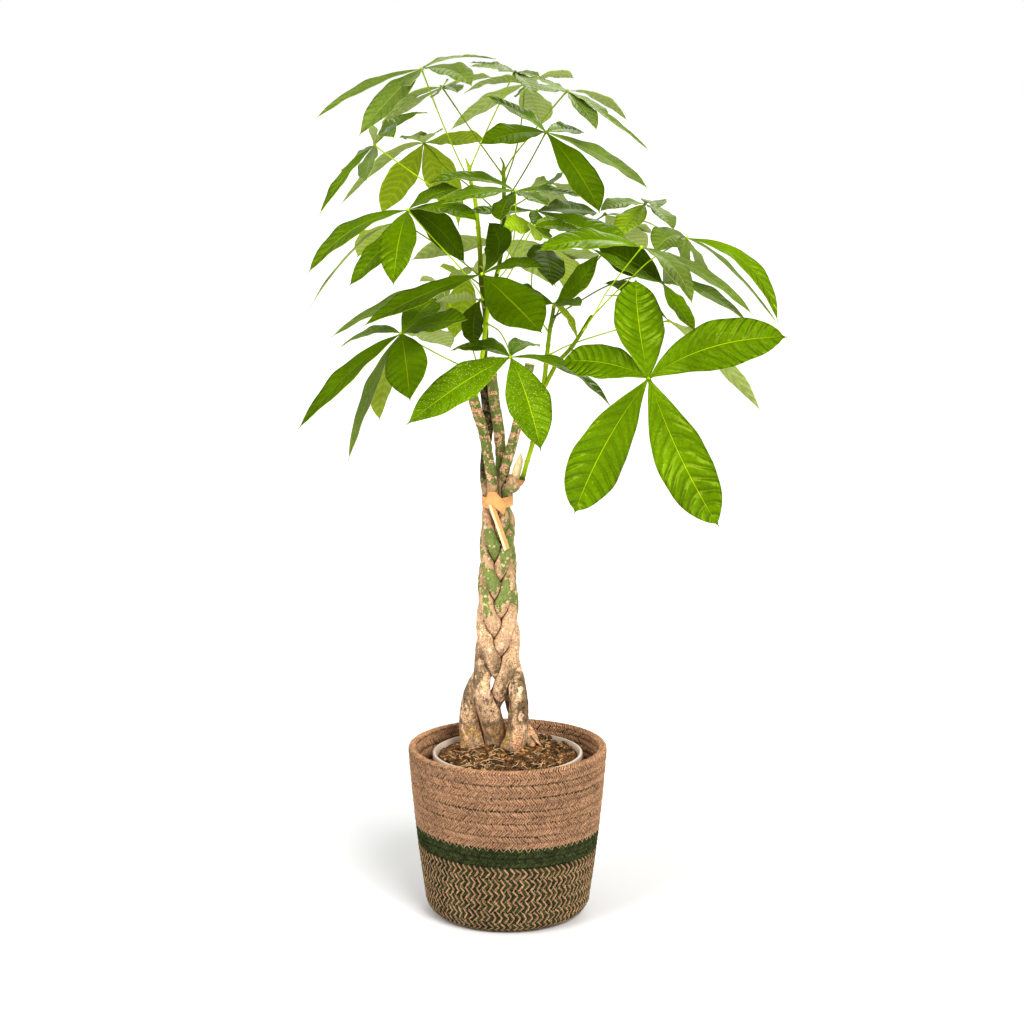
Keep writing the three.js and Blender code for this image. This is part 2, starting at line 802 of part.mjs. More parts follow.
function bladeSolid(knuckle, [midAcross, midDown, tipAcross, tipDown, tipBehind, width, shown], order) {
  const base = seen(knuckle);
  const tip = seen([tipAcross, tipDown, tipBehind]);
  const middle = seen([midAcross, midDown, knuckle[2] + (tipBehind - knuckle[2]) * 0.55]);
  const bend = middle.clone().multiplyScalar(2).addScaledVector(base, -0.5).addScaledVector(tip, -0.5);
  const midrib = new THREE.QuadraticBezierCurve3(base, bend, tip);

  // The blade's face at its middle, turned so that as much of it shows as is stated
  const along = midrib.getTangent(0.5);
  const toEye = EYE.clone().sub(middle).normalize();
  const facing = toEye.addScaledVector(along, -toEye.dot(along)).normalize();
  const beside = along.clone().cross(facing);
  const upward = new THREE.Vector3(base.x * CROWN_SPREAD, base.y * CROWN_SPREAD, 1);
  const lean = Math.sqrt(1 - shown * shown) * (beside.dot(upward) < 0 ? -1 : 1);
  const face = facing.clone().multiplyScalar(shown).addScaledVector(beside, lean);

  const length = midrib.getLength();
  const steps = 3 + (length > SHORT_BLADE) + (length > LONG_BLADE);
  const rings = [];
  for (let step = 0; step <= steps; step += 1) {
    const share = step / steps;
    const spine = midrib.getPoint(share);
    const tangent = midrib.getTangent(share);
    const normal = face.clone().addScaledVector(tangent, -face.dot(tangent)).normalize();
    const side = tangent.clone().cross(normal);
    const half = (width / 2) * bladeOutline(share);
    const wave = BLADE_WAVE * bladeOutline(share) * Math.sin(step * WAVE_STEP + order);
    const left = spine.clone().addScaledVector(side, -half).addScaledVector(normal, half * BLADE_FOLD + wave);
    const right = spine.clone().addScaledVector(side, half).addScaledVector(normal, half * BLADE_FOLD - wave);
    const upper = length > SHORT_BLADE ? [left, spine, right] : [left, right];
    const lower = upper.map((point) => point.clone().addScaledVector(normal, -BLADE_THICKNESS));
    rings.push([...upper, ...lower.reverse()]);
  }
  return solidOf(bladeSkin(rings));
}

// Skin of a blade, split into triangles alike on its upper and lower face
function bladeSkin(rings) {
  const count = rings[0].length;
  const half = count / 2;
  const triangles = [];
  for (let ring = 0; ring < rings.length - 1; ring += 1) {
    const here = ring * count;
    const next = here + count;
    const strip = (a, b) => triangles.push([here + a, here + b, next + b], [here + a, next + b, next + a]);
    const twin = (a, b) => triangles.push([here + a, here + b, next + a], [here + b, next + b, next + a]);
    for (let side = 0; side < half - 1; side += 1) {
      strip(side, side + 1);
      twin(half + side, half + side + 1);
    }
    strip(half - 1, half);
    strip(count - 1, 0);
  }
  const last = (rings.length - 1) * count;
  for (let side = 0; side < half - 1; side += 1) {
    const below = count - 2 - side;
    triangles.push([side, below, side + 1], [side, below + 1, below]);
    triangles.push([last + side, last + side + 1, last + below]);
    triangles.push([last + side, last + below, last + below + 1]);
  }
  return closedGeometry(rings.flat(), triangles);
}

function leafSolid(leaf, root) {
  const knuckle = seen(leaf.knuckle);
  const stalkPoints = [root, ...leaf.stalk.map(seen).reverse(), knuckle];
  const radii = stalkPoints.map((point, place) => (place === 0 ? STALK_FOOT_RADIUS : STALK_RADIUS));
  const parts = [
    tube(stalkPoints, radii, STALK_SIDES),
    solidOf(new THREE.OctahedronGeometry(KNUCKLE_RADIUS, 0).translate(knuckle.x, knuckle.y, knuckle.z)),
    ...leaf.leaflets.map((leaflet, order) => bladeSolid(leaf.knuckle, leaflet, order)),
  ];
  return wasm.Manifold.union(parts);
}

// Soil

function soilHeight(radius, turn) {
  const mound = SOIL_MOUND * Math.max(0, 1 - (radius / POT_FOOT_RADIUS) ** 2);
  const bump = Math.sin(radius * 0.35 + turn * 5) + Math.sin(radius * 0.21 - turn * 8);
  return SOIL_HEIGHT + mound + bump * SOIL_BUMP;
}

function soilRing(radius, heightAt) {
  const ring = [];
  for (let side = 0; side < POT_SIDES; side += 1) {
    const turn = (side / POT_SIDES) * Math.PI * 2;
    ring.push(new THREE.Vector3(radius * Math.cos(turn), radius * Math.sin(turn), heightAt(turn)));
  }
  return ring;
}

function soilSolid() {
  const floor = BASKET_FLOOR + FIT + POT_WALL + FIT;
  const edge = SOIL_HEIGHT - SOIL_BUMP * 2;
  const foot = soilRing(POT_FOOT_RADIUS - POT_WALL - FIT - SOIL_DRAFT, () => floor);
  const rim = soilRing(potRadius(edge) - POT_WALL - FIT, () => edge);
  const top = SOIL_RINGS.map((radius) => soilRing(radius, (turn) => soilHeight(radius, turn)));
  return solidOf(skin([foot, rim, ...top.reverse()]));
}

// Raffia tie: a band round the plait, with the strip's end folded down over it as a flap and a tail

function slab(corners, behind) {
  const outline = corners.map(([across, down]) => seen([across, down, behind]));
  const shape = new THREE.Shape(outline.map((corner) => new THREE.Vector2(corner.x, corner.z)));
  const geometry = new THREE.ExtrudeGeometry(shape, { depth: TIE_THICKNESS, bevelEnabled: false });
  return solidOf(geometry.rotateX(Math.PI / 2).translate(0, behind, 0));
}

function tieSolid(trunks) {
  const rings = [TIE_FOOT, TIE_TOP].map((height) => {
    const ring = [];
    for (let side = 0; side < TIE_SIDES; side += 1) {
      const turn = (side / TIE_SIDES) * Math.PI * 2;
      const across = PLAIT_ACROSS + TIE_WIDE * Math.cos(turn);
      ring.push(new THREE.Vector3(across, TIE_BEHIND + TIE_DEEP * Math.sin(turn), height));
    }
    return ring;
  });
  const front = TIE_BEHIND - TIE_DEEP + TIE_THICKNESS / 2;
  const flap = slab([[489, 492], [495, 492], [507, 505.5], [502.5, 515], [491.5, 505.5], [485, 504]], front);
  const tail = slab([[488, 500], [493, 500], [508.5, 549], [504, 551]], front);
  const band = solidOf(skin(rings)).subtract(wasm.Manifold.union(trunks));
  return wasm.Manifold.union([band, flap, tail]).subtract(wasm.Manifold.union(trunks));
}

// Assembly

const group = new THREE.Group();

function add(name, geometry, color, roughness, metalness = 0) {
  const mesh = new THREE.Mesh(geometry, new THREE.MeshStandardMaterial({ color, roughness, metalness }));
  mesh.name = name;
  group.add(mesh);
}

add('basket_tan', basketTan(), 0xb9916e, 0.9);
add('basket_green', basketGreen(), 0x3a4a2c, 0.9);
add('basket_zigzag', basketMixed(), 0x7d7a55, 0.9);
add('nursery_pot', nurseryPot(), 0xd8d2c8, 0.45);

// Each trunk is cut to lie against those before it
const routes = TRUNKS.map(trunkRoute);
const swollen = routes.map((route) => trunkSolid(route, FIT));
const trunks = routes.map((route, place) => {
  const earlier = wasm.Manifold.union(swollen.slice(0, place));
  return largestBody(trunkSolid(route, 0).subtract(earlier));
});
add('soil', geometryOf(largestBody(soilSolid().subtract(wasm.Manifold.union(swollen)))), 0x4a3524, 1);
trunks.forEach((trunk, place) => add(TRUNKS[place].name, geometryOf(trunk), 0xa88a62, 0.85));
add('raffia_tie', geometryOf(largestBody(tieSolid(swollen))), 0xe8bf7a, 0.7);

// Each shoot starts in the stem that it grows from, and each leaf in its shoot
const stems = [...swollen];
SHOOTS.forEach((shoot) => {
  const { points, radii } = shootPath(shoot);
  const whole = tube(points, radii, SHOOT_SIDES);
  add(shoot.name, geometryOf(largestBody(whole.subtract(wasm.Manifold.union(stems)))), 0x7fa030, 0.55);
  stems.push(tube(points, radii, SHOOT_SIDES, FIT));
});
const everyStem = wasm.Manifold.union(stems);
LEAVES.forEach((leaf) => {
  const [stem, down] = leaf.joins;
  const root = stem === 'trunk_middle' ? seen([465.5, down, -10]) : onShoot(stem, down);
  add(leaf.name, geometryOf(largestBody(leafSolid(leaf, root).subtract(everyStem))), 0x5f8f1c, 0.5);
});

export default group;
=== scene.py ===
"""Potted money tree: the fine pieces and finishes that dress the packed solids."""

import logging
import math
from collections.abc import Callable, Sequence
from dataclasses import dataclass, field
from enum import Enum

import bpy
import numpy as np
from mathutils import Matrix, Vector, noise
from mathutils.bvhtree import BVHTree


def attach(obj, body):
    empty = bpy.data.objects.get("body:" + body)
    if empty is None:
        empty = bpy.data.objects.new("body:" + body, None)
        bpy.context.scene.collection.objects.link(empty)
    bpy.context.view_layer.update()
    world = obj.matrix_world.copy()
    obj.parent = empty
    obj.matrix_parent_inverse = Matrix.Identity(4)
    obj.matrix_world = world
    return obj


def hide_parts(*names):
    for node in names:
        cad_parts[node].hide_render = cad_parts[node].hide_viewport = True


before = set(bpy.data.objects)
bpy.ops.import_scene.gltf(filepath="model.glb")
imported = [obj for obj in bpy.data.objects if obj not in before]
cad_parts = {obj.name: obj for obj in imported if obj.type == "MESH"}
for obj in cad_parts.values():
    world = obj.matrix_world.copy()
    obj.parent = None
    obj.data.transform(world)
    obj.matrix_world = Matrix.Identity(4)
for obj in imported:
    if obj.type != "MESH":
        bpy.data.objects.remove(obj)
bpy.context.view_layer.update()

log = logging.getLogger("money_tree")

MM = 0.001
BODY = "root"
PATTERN = "pattern"
WELD = MM / 100
SMOOTH_UNDER = math.radians(40)
Pair = tuple[float, float]
Triple = tuple[float, float, float]
Row = tuple[float, float, float, float]
Color = tuple[int, int, int]
Face = Sequence[int]
Mesh = tuple[np.ndarray, list[Face]]


def srgb(red: int, green: int, blue: int) -> Row:
    """Turns a screen colour into the linear colour a shader takes.

    Args:
        red: red from 0 to 255.
        green: green from 0 to 255.
        blue: blue from 0 to 255.

    Returns:
        Linear red, green, blue and full alpha.
    """
    linear = [((v / 255 + 0.055) / 1.055) ** 2.4 if v > 10 else v / 255 / 12.92 for v in (red, green, blue)]
    return (linear[0], linear[1], linear[2], 1.0)


@dataclass(frozen=True)
class Viewpoint:
    """Where the picture was taken from. Places are written as they are seen from here."""

    eye: Vector = field(default_factory=lambda: Vector((4.4, -2400.0, 858.0)))
    tilt: float = math.radians(10.5)
    focus: float = 2454.0
    middle: float = 512.0

    def seen(self, across: float, down: float, behind: float) -> Vector:
        """Finds the point that shows at a place in the picture.

        Args:
            across: place across the picture.
            down: place down the picture.
            behind: millimetres behind the basket's axis.

        Returns:
            The point in millimetres.
        """
        rise = self.middle - down
        forward = self.focus * math.cos(self.tilt) + rise * math.sin(self.tilt)
        upward = rise * math.cos(self.tilt) - self.focus * math.sin(self.tilt)
        reach = (behind - self.eye.y) / forward
        return Vector((self.eye.x + (across - self.middle) * reach, behind, self.eye.z + upward * reach))

    def row(self, place: Sequence[float]) -> tuple[float, ...]:
        """Finds a place as seen, and keeps what is written after it."""
        return (*self.seen(*place[:3]), *place[3:])


VIEW = Viewpoint()


# Making meshes


def clear_selection() -> None:
    """Leaves object mode with nothing selected."""
    if bpy.context.object and bpy.context.object.mode != "OBJECT":
        bpy.ops.object.mode_set(mode="OBJECT")
    bpy.ops.object.select_all(action="DESELECT")


def select_only(piece: bpy.types.Object) -> None:
    """Selects one object and makes it the active one.

    Args:
        piece: the object.
    """
    clear_selection()
    piece.select_set(True)
    bpy.context.view_layer.objects.active = piece


def around(radius: float, turn: float) -> Pair:
    """Gives the place at a radius and a turn."""
    return radius * math.cos(turn), radius * math.sin(turn)


def quads(rings: int, sides: int, start: int = 0) -> list[Face]:
    """Joins rings of points with four-sided faces.

    Args:
        rings: how many rings there are, one after the other.
        sides: points in each ring.
        start: place of the first ring's first point.

    Returns:
        The faces.
    """
    faces = []
    for foot in range(start, start + (rings - 1) * sides, sides):
        for side in range(sides):
            here, near = foot + side, foot + (side + 1) % sides
            faces.append([here, near, near + sides, here + sides])
    return faces


def take_pattern() -> Mesh:
    """Takes the points and faces of the object just made, and removes it.

    Returns:
        Its points and faces.
    """
    pattern = bpy.context.object
    points = np.array([vertex.co[:] for vertex in pattern.data.vertices])
    faces = [list(polygon.vertices) for polygon in pattern.data.polygons]
    bpy.data.objects.remove(pattern)
    return points, faces


def smooth_path(points: Sequence[Sequence[float]], steps: int) -> np.ndarray:
    """Runs a smooth line through hand-placed points.

    Args:
        points: the places to pass; extra columns, such as a radius, are carried along.
        steps: stretches between one place and the next.

    Returns:
        One row for each point of the line.
    """
    rows = np.array([list(point) for point in points], dtype=float)
    ends = np.vstack([2 * rows[0] - rows[1], rows, 2 * rows[-1] - rows[-2]])
    line = []
    for place in range(1, len(ends) - 2):
        before, here, after, beyond = ends[place - 1:place + 3]
        for step in range(steps):
            t = step / steps
            line.append(0.5 * (2 * here + (after - before) * t
                               + (2 * before - 5 * here + 4 * after - beyond) * t ** 2
                               + (3 * here - before - 3 * after + beyond) * t ** 3))
    line.append(rows[-1])
    return np.array(line)


def swept_tube(line: np.ndarray, sides: int, shape: Callable[[Vector], float] | None = None,
               flatness: float = 1.0) -> Mesh:
    """Sweeps a round section along a line whose fourth column is its radius.

    Args:
        line: rows of x, y, z and radius.
        sides: points round the section.
        shape: factor on the radius from the plain point there.
        flatness: how much the section is squeezed front to back.

    Returns:
        Points, and faces with both ends closed.
    """
    middle, radii = line[:, :3], line[:, 3]
    along = np.gradient(middle, axis=0)
    along /= np.linalg.norm(along, axis=1)[:, None]
    across = np.array([1.0, 0.0, 0.0])
    points = []
    for centre, tangent, radius in zip(middle, along, radii):
        across = across - tangent * across.dot(tangent)
        across /= np.linalg.norm(across)
        outward = np.cross(tangent, across)
        for side in range(sides):
            turn = side / sides * math.tau
            way = across * math.cos(turn) + outward * (math.sin(turn) * flatness)
            factor = shape(Vector(centre + way * radius)) if shape else 1.0
            points.append(centre + way * (radius * factor))
    ends = range(sides), range(len(points) - sides, len(points))
    return np.array(points), [list(ends[0])[::-1], *quads(len(middle), sides), list(ends[1])]


class Sheaf:
    """Points and faces gathered for one piece, in millimetres, with a finish number for each face."""

    def __init__(self) -> None:
        """Starts with nothing."""
        self.points: list[np.ndarray] = []
        self.faces: list[Face] = []
        self.finish: list[int] = []
        self.marks: list[np.ndarray] = []
        self.count = 0

    def add(self, mesh: Mesh, finish: int | Sequence[int] = 0,
            marks: Pair | np.ndarray = (0.0, 0.0)) -> None:
        """Adds a mesh to the piece.

        Args:
            mesh: its points, one row each, and its faces.
            finish: one finish number for all faces, or one for each.
            marks: a place on the surface's pattern, for all points or for each.
        """
        points, faces = mesh
        self.points.append(np.asarray(points, dtype=float))
        self.faces.extend([[place + self.count for place in face] for face in faces])
        self.finish.extend([finish] * len(faces) if isinstance(finish, int) else finish)
        self.marks.append(np.broadcast_to(marks, (len(points), 2)))
        self.count += len(points)

    def piece(self, name: str, materials: Sequence[bpy.types.Material],
              smooth: bool = True) -> bpy.types.Object:
        """Makes the gathered mesh an object.

        Args:
            name: the object's name.
            materials: its finishes, in the order of the finish numbers.
            smooth: whether its faces shade smoothly.

        Returns:
            The object, at the origin.
        """
        mesh = bpy.data.meshes.new(name)
        mesh.from_pydata((np.vstack(self.points) * MM).tolist(), [], self.faces)
        for material in materials:
            mesh.materials.append(material)
        mesh.polygons.foreach_set("material_index", np.array(self.finish, dtype=np.int32))
        mesh.polygons.foreach_set("use_smooth", np.full(len(self.faces), smooth))
        corners = np.empty(len(mesh.loops), dtype=np.int32)
        mesh.loops.foreach_get("vertex_index", corners)
        layer = mesh.uv_layers.new(name=PATTERN)
        layer.data.foreach_set("uv", np.vstack(self.marks)[corners].ravel())
        mesh.validate()
        mesh.update()
        made = bpy.data.objects.new(name, mesh)
        bpy.context.collection.objects.link(made)
        log.info("%s: %d faces", name, len(mesh.polygons))
        return made


def thicken(piece: bpy.types.Object, thickness: float, back: int) -> None:
    """Gives an open sheet its thickness, behind its face.

    Args:
        piece: the sheet.
        thickness: how thick, in millimetres.
        back: how many places further on in its finishes the back's finish stands.
    """
    select_only(piece)
    solid = piece.modifiers.new("thickness", "SOLIDIFY")
    solid.thickness = thickness * MM
    solid.offset = -1
    solid.material_offset = back
    solid.material_offset_rim = back
    bpy.ops.object.modifier_apply(modifier=solid.name)


def join(piece: bpy.types.Object, other: bpy.types.Object) -> None:
    """Makes another object part of a piece.

    Args:
        piece: the piece.
        other: the object that becomes part of it.
    """
    select_only(piece)
    other.select_set(True)
    bpy.ops.object.join()


def turned_shell(name: str, outline: Sequence[Pair], steps: int,
                 material: bpy.types.Material) -> bpy.types.Object:
    """Spins a closed outline round the basket's axis, as on a wheel.

    Args:
        name: the object's name.
        outline: radius and height of each point, in millimetres, all the way round the section.
        steps: facets in a full turn.
        material: the finish.

    Returns:
        The object, closed, with its faces outwards.
    """
    clear_selection()
    here = outline[0]
    bpy.ops.mesh.primitive_plane_add(size=MM, location=(0, 0, 0))
    shell = bpy.context.object
    shell.name = name
    bpy.ops.object.mode_set(mode="EDIT")
    bpy.ops.mesh.select_all(action="SELECT")
    bpy.ops.mesh.merge(type="CENTER")
    bpy.ops.transform.translate(value=(here[0] * MM, 0, here[1] * MM))
    for radius, height in [*outline[1:], here]:
        step = ((radius - here[0]) * MM, 0, (height - here[1]) * MM)
        bpy.ops.mesh.extrude_region_move(TRANSFORM_OT_translate={"value": step})
        here = (radius, height)
    bpy.ops.mesh.select_all(action="SELECT")
    bpy.ops.mesh.remove_doubles(threshold=WELD)
    bpy.ops.mesh.spin(steps=steps, angle=math.tau, center=(0, 0, 0), axis=(0, 0, 1))
    bpy.ops.mesh.select_all(action="SELECT")
    bpy.ops.mesh.remove_doubles(threshold=WELD)
    bpy.ops.mesh.normals_make_consistent(inside=False)
    bpy.ops.object.mode_set(mode="OBJECT")
    shell.data.materials.append(material)
    bpy.ops.object.shade_smooth_by_angle(angle=SMOOTH_UNDER)
    log.info("%s: %d faces", name, len(shell.data.polygons))
    return shell


def dress(piece: bpy.types.Object, slot: str, *nodes: str) -> None:
    """Fixes a finished piece to the plant in place of its plain solids.

    Args:
        piece: the finished piece.
        slot: the record's material slot for it.
        nodes: the solids it stands for.
    """
    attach(piece, BODY)
    if nodes:
        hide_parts(*nodes)


# Finishes


class Value:
    """A number, place or colour that changes over the surface. Arithmetic on it adds nodes."""

    def __init__(self, paint: "Paint", socket: bpy.types.NodeSocket) -> None:
        """Takes a socket and the tree it is in."""
        self.paint = paint
        self.socket = socket

    def __add__(self, other: "Value | float") -> "Value":
        """Adds."""
        return self.paint.calc("ADD", self, other)

    def __sub__(self, other: "Value | float") -> "Value":
        """Takes away."""
        return self.paint.calc("SUBTRACT", self, other)

    def __rsub__(self, other: float) -> "Value":
        """Takes away from a number."""
        return self.paint.calc("SUBTRACT", other, self)

    def __mul__(self, other: "Value | float") -> "Value":
        """Multiplies."""
        return self.paint.calc("MULTIPLY", self, other)

    def __pow__(self, other: float) -> "Value":
        """Raises to a power."""
        return self.paint.calc("POWER", self, other)

    def __gt__(self, other: float) -> "Value":
        """Gives 1 where it is greater."""
        return self.paint.calc("GREATER_THAN", self, other)

    def __lt__(self, other: float) -> "Value":
        """Gives 1 where it is less."""
        return self.paint.calc("LESS_THAN", self, other)

    def __abs__(self) -> "Value":
        """Drops the sign."""
        return self.paint.calc("ABSOLUTE", self)


Input = Value | float | Sequence[float]
Inputs = dict[int | str, Input]


class Where(Enum):
    """Which texture coordinate a pattern is read at."""

    SKY = 0
    OBJECT = 3


class Paint:
    """Builds a tree of shader nodes in short calls."""

    def __init__(self, tree: bpy.types.NodeTree) -> None:
        """Takes the tree to build in."""
        self.tree = tree

    def feed(self, socket: bpy.types.NodeSocket, value: Input) -> None:
        """Connects a value to a socket, or sets a constant there.

        Args:
            socket: the socket.
            value: the value or the constant.
        """
        if isinstance(value, Value):
            self.tree.links.new(value.socket, socket)
        else:
            socket.default_value = value

    def node(self, kind: str, inputs: Inputs | None = None, **settings: object) -> list[Value]:
        """Adds a node.

        Args:
            kind: the node's type name.
            inputs: what goes into each socket, by its name or place.
            settings: the node's own settings.

        Returns:
            Its outputs.
        """
        made = self.tree.nodes.new(kind)
        for key, value in settings.items():
            setattr(made, key, value)
        for key, value in (inputs or {}).items():
            self.feed(made.inputs[key], value)
        return [Value(self, socket) for socket in made.outputs]

    def calc(self, how: str, first: Input, second: Input = 0.0) -> Value:
        """Adds one step of arithmetic."""
        return self.node("ShaderNodeMath", {0: first, 1: second}, operation=how)[0]

    def scaled(self, color: Value, factor: Value) -> Value:
        """Makes a colour brighter or darker."""
        return self.node("ShaderNodeVectorMath", {0: color, 3: factor}, operation="SCALE")[0]

    def mix(self, share: Value, first: Value | Color, second: Value | Color) -> Value:
        """Blends two colours by a share; each is a value or a screen colour."""
        pair = [color if isinstance(color, Value) else srgb(*color) for color in (first, second)]
        return self.node("ShaderNodeMix", {0: share, 6: pair[0], 7: pair[1]}, data_type="RGBA")[2]

    def ramp(self, value: Value, low: float, high: float) -> Value:
        """Turns a value between low and high into a share from 0 to 1."""
        inputs = {0: value, 1: low, 2: high}
        return self.node("ShaderNodeMapRange", inputs, interpolation_type="SMOOTHSTEP")[0]

    def split(self, where: Value) -> list[Value]:
        """Takes a place or a colour apart."""
        return self.node("ShaderNodeSeparateXYZ", {0: where})

    def place(self, kind: Where = Where.OBJECT) -> Value:
        """Gives a texture coordinate."""
        return self.node("ShaderNodeTexCoord")[kind.value]

    def clouds(self, scale: Input, detail: float, stretch: Triple = (1, 1, 1),
               where: Value | None = None) -> Value:
        """Adds soft noise over the object.

        Args:
            scale: how fine it is.
            detail: how many finer layers it has.
            stretch: how it is drawn out along each axis.
            where: the place to read it at, or none for the place on the object.

        Returns:
            The noise.
        """
        moved = self.node("ShaderNodeMapping", {0: where or self.place(), 3: stretch})[0]
        return self.node("ShaderNodeTexNoise", {"Vector": moved, "Scale": scale, "Detail": detail})[0]

    def cells(self, scale: float, where: Value) -> list[Value]:
        """Gives how near the nearest of many scattered points is, and a colour of its own."""
        return self.node("ShaderNodeTexVoronoi", {"Vector": where, "Scale": scale})[:2]


def tone_group() -> bpy.types.NodeTree:
    """Makes the shared effect that varies a colour in soft patches and fine specks.

    Returns:
        The effect, which gives the colour and the specks' height.
    """
    group = bpy.data.node_groups.new("grown_tone", "ShaderNodeTree")
    sockets = {"INPUT": ("Color", "Patch Scale", "Speck Scale", "Amount"), "OUTPUT": ("Color", "Height")}
    for way, names in sockets.items():
        for name in names:
            kind = "NodeSocketColor" if name == "Color" else "NodeSocketFloat"
            group.interface.new_socket(name, in_out=way, socket_type=kind)
    paint = Paint(group)
    color, patch_scale, speck_scale, amount = paint.node("NodeGroupInput")[:4]
    patch = paint.clouds(patch_scale, 2.0)
    speck = paint.clouds(speck_scale, 4.0)
    change = (patch * 0.6 + speck * 0.4 - 0.5) * amount
    paint.node("NodeGroupOutput", {0: paint.scaled(color, change * 2.0 + 1.0), 1: speck})
    return group


class Coat(Paint):
    """Builds one material."""

    def __init__(self, name: str, tone: bpy.types.NodeTree) -> None:
        """Starts a plain material.

        Args:
            name: the material's name.
            tone: the shared colour variation.
        """
        self.material = bpy.data.materials.new(name)
        self.material.use_nodes = True
        self.tone = tone
        super().__init__(self.material.node_tree)

    def pattern(self) -> list[Value]:
        """Gives the two numbers that each point of the surface carries."""
        return self.split(self.node("ShaderNodeUVMap", uv_map=PATTERN)[0])[:2]

    def varied(self, color: Value | Color, patch: float, speck: float, amount: float) -> list[Value]:
        """Varies a colour, and gives it with the specks' height."""
        given = color if isinstance(color, Value) else srgb(*color)
        return self.node("ShaderNodeGroup", {0: given, 1: patch, 2: speck, 3: amount}, node_tree=self.tone)

    def finish(self, color: Value, roughness: float, relief: tuple[Value, float, float],
               **others: Input) -> bpy.types.Material:
        """Connects the surface.

        Args:
            color: base colour.
            roughness: roughness.
            relief: its height, its strength and its depth in millimetres.
            others: what goes into other sockets, their names written with underscores.

        Returns:
            The material.
        """
        height, strength, depth = relief
        bump = {"Height": height, "Strength": strength, "Distance": depth * MM}
        normal = self.node("ShaderNodeBump", bump)[0]
        surface = self.tree.nodes["Principled BSDF"]
        for key, value in {"Base_Color": color, "Roughness": roughness, "Normal": normal, **others}.items():
            self.feed(surface.inputs[key.replace("_", " ")], value)
        return self.material


class Shade(Enum):
    """How dark a leaf has grown."""

    # Darker copy: partly the leaf's own tone, partly painted shade on leaves that stand in shade.
    DEEP = "deep"
    FULL = "full"
    # Lighter copy: partly the leaf's own tone, partly painted light; its yellow underside is a painted glow
    # of light through it.
    FRESH = "fresh"
    # Greyer copy: the grey of its upper face is a painted sheen; its pale grey underside is the leaf's own.
    HAZY = "hazy"
    # Bright lime copy: partly a young leaf's own tone, partly a painted glow of light through the leaf.
    LIME = "lime"
    # Deeper quilting, with stronger painted shade in its furrows.
    QUILTED = "quilted"
    SPOTTED = "spotted"


@dataclass(frozen=True)
class LeafFinish:
    """Waxy upper face and pale underside of a leaf, quilted between a midrib and its side veins.

    In seen_through, vein_share, patchy and relief the first number is for the upper face and the second for
    the underside.
    """

    blade: Color
    vein: Color
    under: Color
    gloss: float = 0.26
    shine: float = 0.34
    under_gloss: Pair = (0.6, 0.12)
    # Painted glow of light through the leaf, for the upper face and the underside.
    painted_glow: Pair = (0.05, 0.1)
    sheen: Color = (240, 255, 105)
    side_veins: float = 10.5
    vein_rise: float = 0.06
    vein_curl: float = 0.1
    vein_fade: Pair = (1.15, 0.55)
    vein_drift: float = 0.8
    drift_scale: float = 30.0
    vein_from: Pair = (0.455, 0.5)
    vein_share: Pair = (0.24, 0.45)
    rib_width: float = 0.045
    rib_core: float = 0.35
    rib_share: float = 0.85
    rib_depth: float = 0.5
    scales: Pair = (22.0, 420.0)
    patchy: Pair = (0.9, 0.4)
    quilting: float = 1.3
    plump_from: Pair = (0.5, 0.16)
    # Painted shade of the quilting: how much darker the furrows are, on the upper face and on the underside.
    quilt_shade: float = 0.13
    quilt_shade_depth: float = 0.7
    under_quilt_shade: Pair = (-0.22, 1.12)
    swelling_from: Pair = (0.3, 0.85)
    swelling: Pair = (0.88, 0.12)
    margin: Pair = (0.7, 0.45)
    blisters: float = 0.8
    blister_scale: float = 110.0
    specks: float = 0.12
    relief: Pair = (1.0, 0.5)
    spots: float = 0.0
    spot: Color = (226, 236, 170)
    spot_scale: float = 520.0
    spot_from: Pair = (0.3, 0.16)

    def paint(self, coat: Coat, upper: bool = True) -> bpy.types.Material:
        """Builds the finish.

        Args:
            coat: the material to build.
            upper: whether it is for the upper face.

        Returns:
            The material.
        """
        side = int(not upper)
        across, along = coat.pattern()
        beside = abs(across * 2.0 - 1.0)
        midrib = coat.ramp(beside, self.rib_width, self.rib_width * self.rib_core)
        rise = beside * self.vein_rise + beside ** 2.0 * self.vein_curl
        order = (along - rise * coat.ramp(along, *self.vein_fade)) * self.side_veins
        order = order + coat.clouds(self.drift_scale, 1.0) * self.vein_drift
        wave = abs(coat.calc("FRACT", order) - 0.5)
        vein = coat.ramp(wave, *self.vein_from)
        plump = coat.ramp(wave, *self.plump_from)

        color, speck = coat.varied(self.blade if upper else self.under, *self.scales, self.patchy[side])
        # Painted shade of the quilting: darker along the sunken veins of the upper face and between the
        # raised veins of the underside.
        quilt_shade, plain = (self.quilt_shade, 1 - self.quilt_shade * self.quilt_shade_depth) if upper else self.under_quilt_shade
        color = coat.scaled(color, plump * quilt_shade + plain)
        color = coat.mix(vein * self.vein_share[side], color, self.vein)
        color = coat.mix(midrib * self.rib_share, color, self.vein)
        if upper and self.spots:
            near = coat.cells(self.spot_scale, coat.place())[0]
            color = coat.mix(coat.ramp(near, *self.spot_from) * self.spots, color, self.spot)

        swell = coat.ramp(along, *self.swelling_from) * self.swelling[0] + self.swelling[1]
        swell = swell * (beside * self.margin[0] + self.margin[1])
        height = (plump + coat.clouds(self.blister_scale, 1.0) * self.blisters) * swell
        height = height - midrib * self.rib_depth + speck * self.specks
        gloss, shine = (self.gloss, self.shine) if upper else self.under_gloss
        # Painted glow: the leaf's colour, lightly emitted, stands in for light shining through it.
        return coat.finish(color, gloss, (height, self.relief[side], self.quilting), Emission_Color=color,
                           Emission_Strength=self.painted_glow[side], Specular_IOR_Level=shine,
                           Specular_Tint=srgb(*self.sheen))


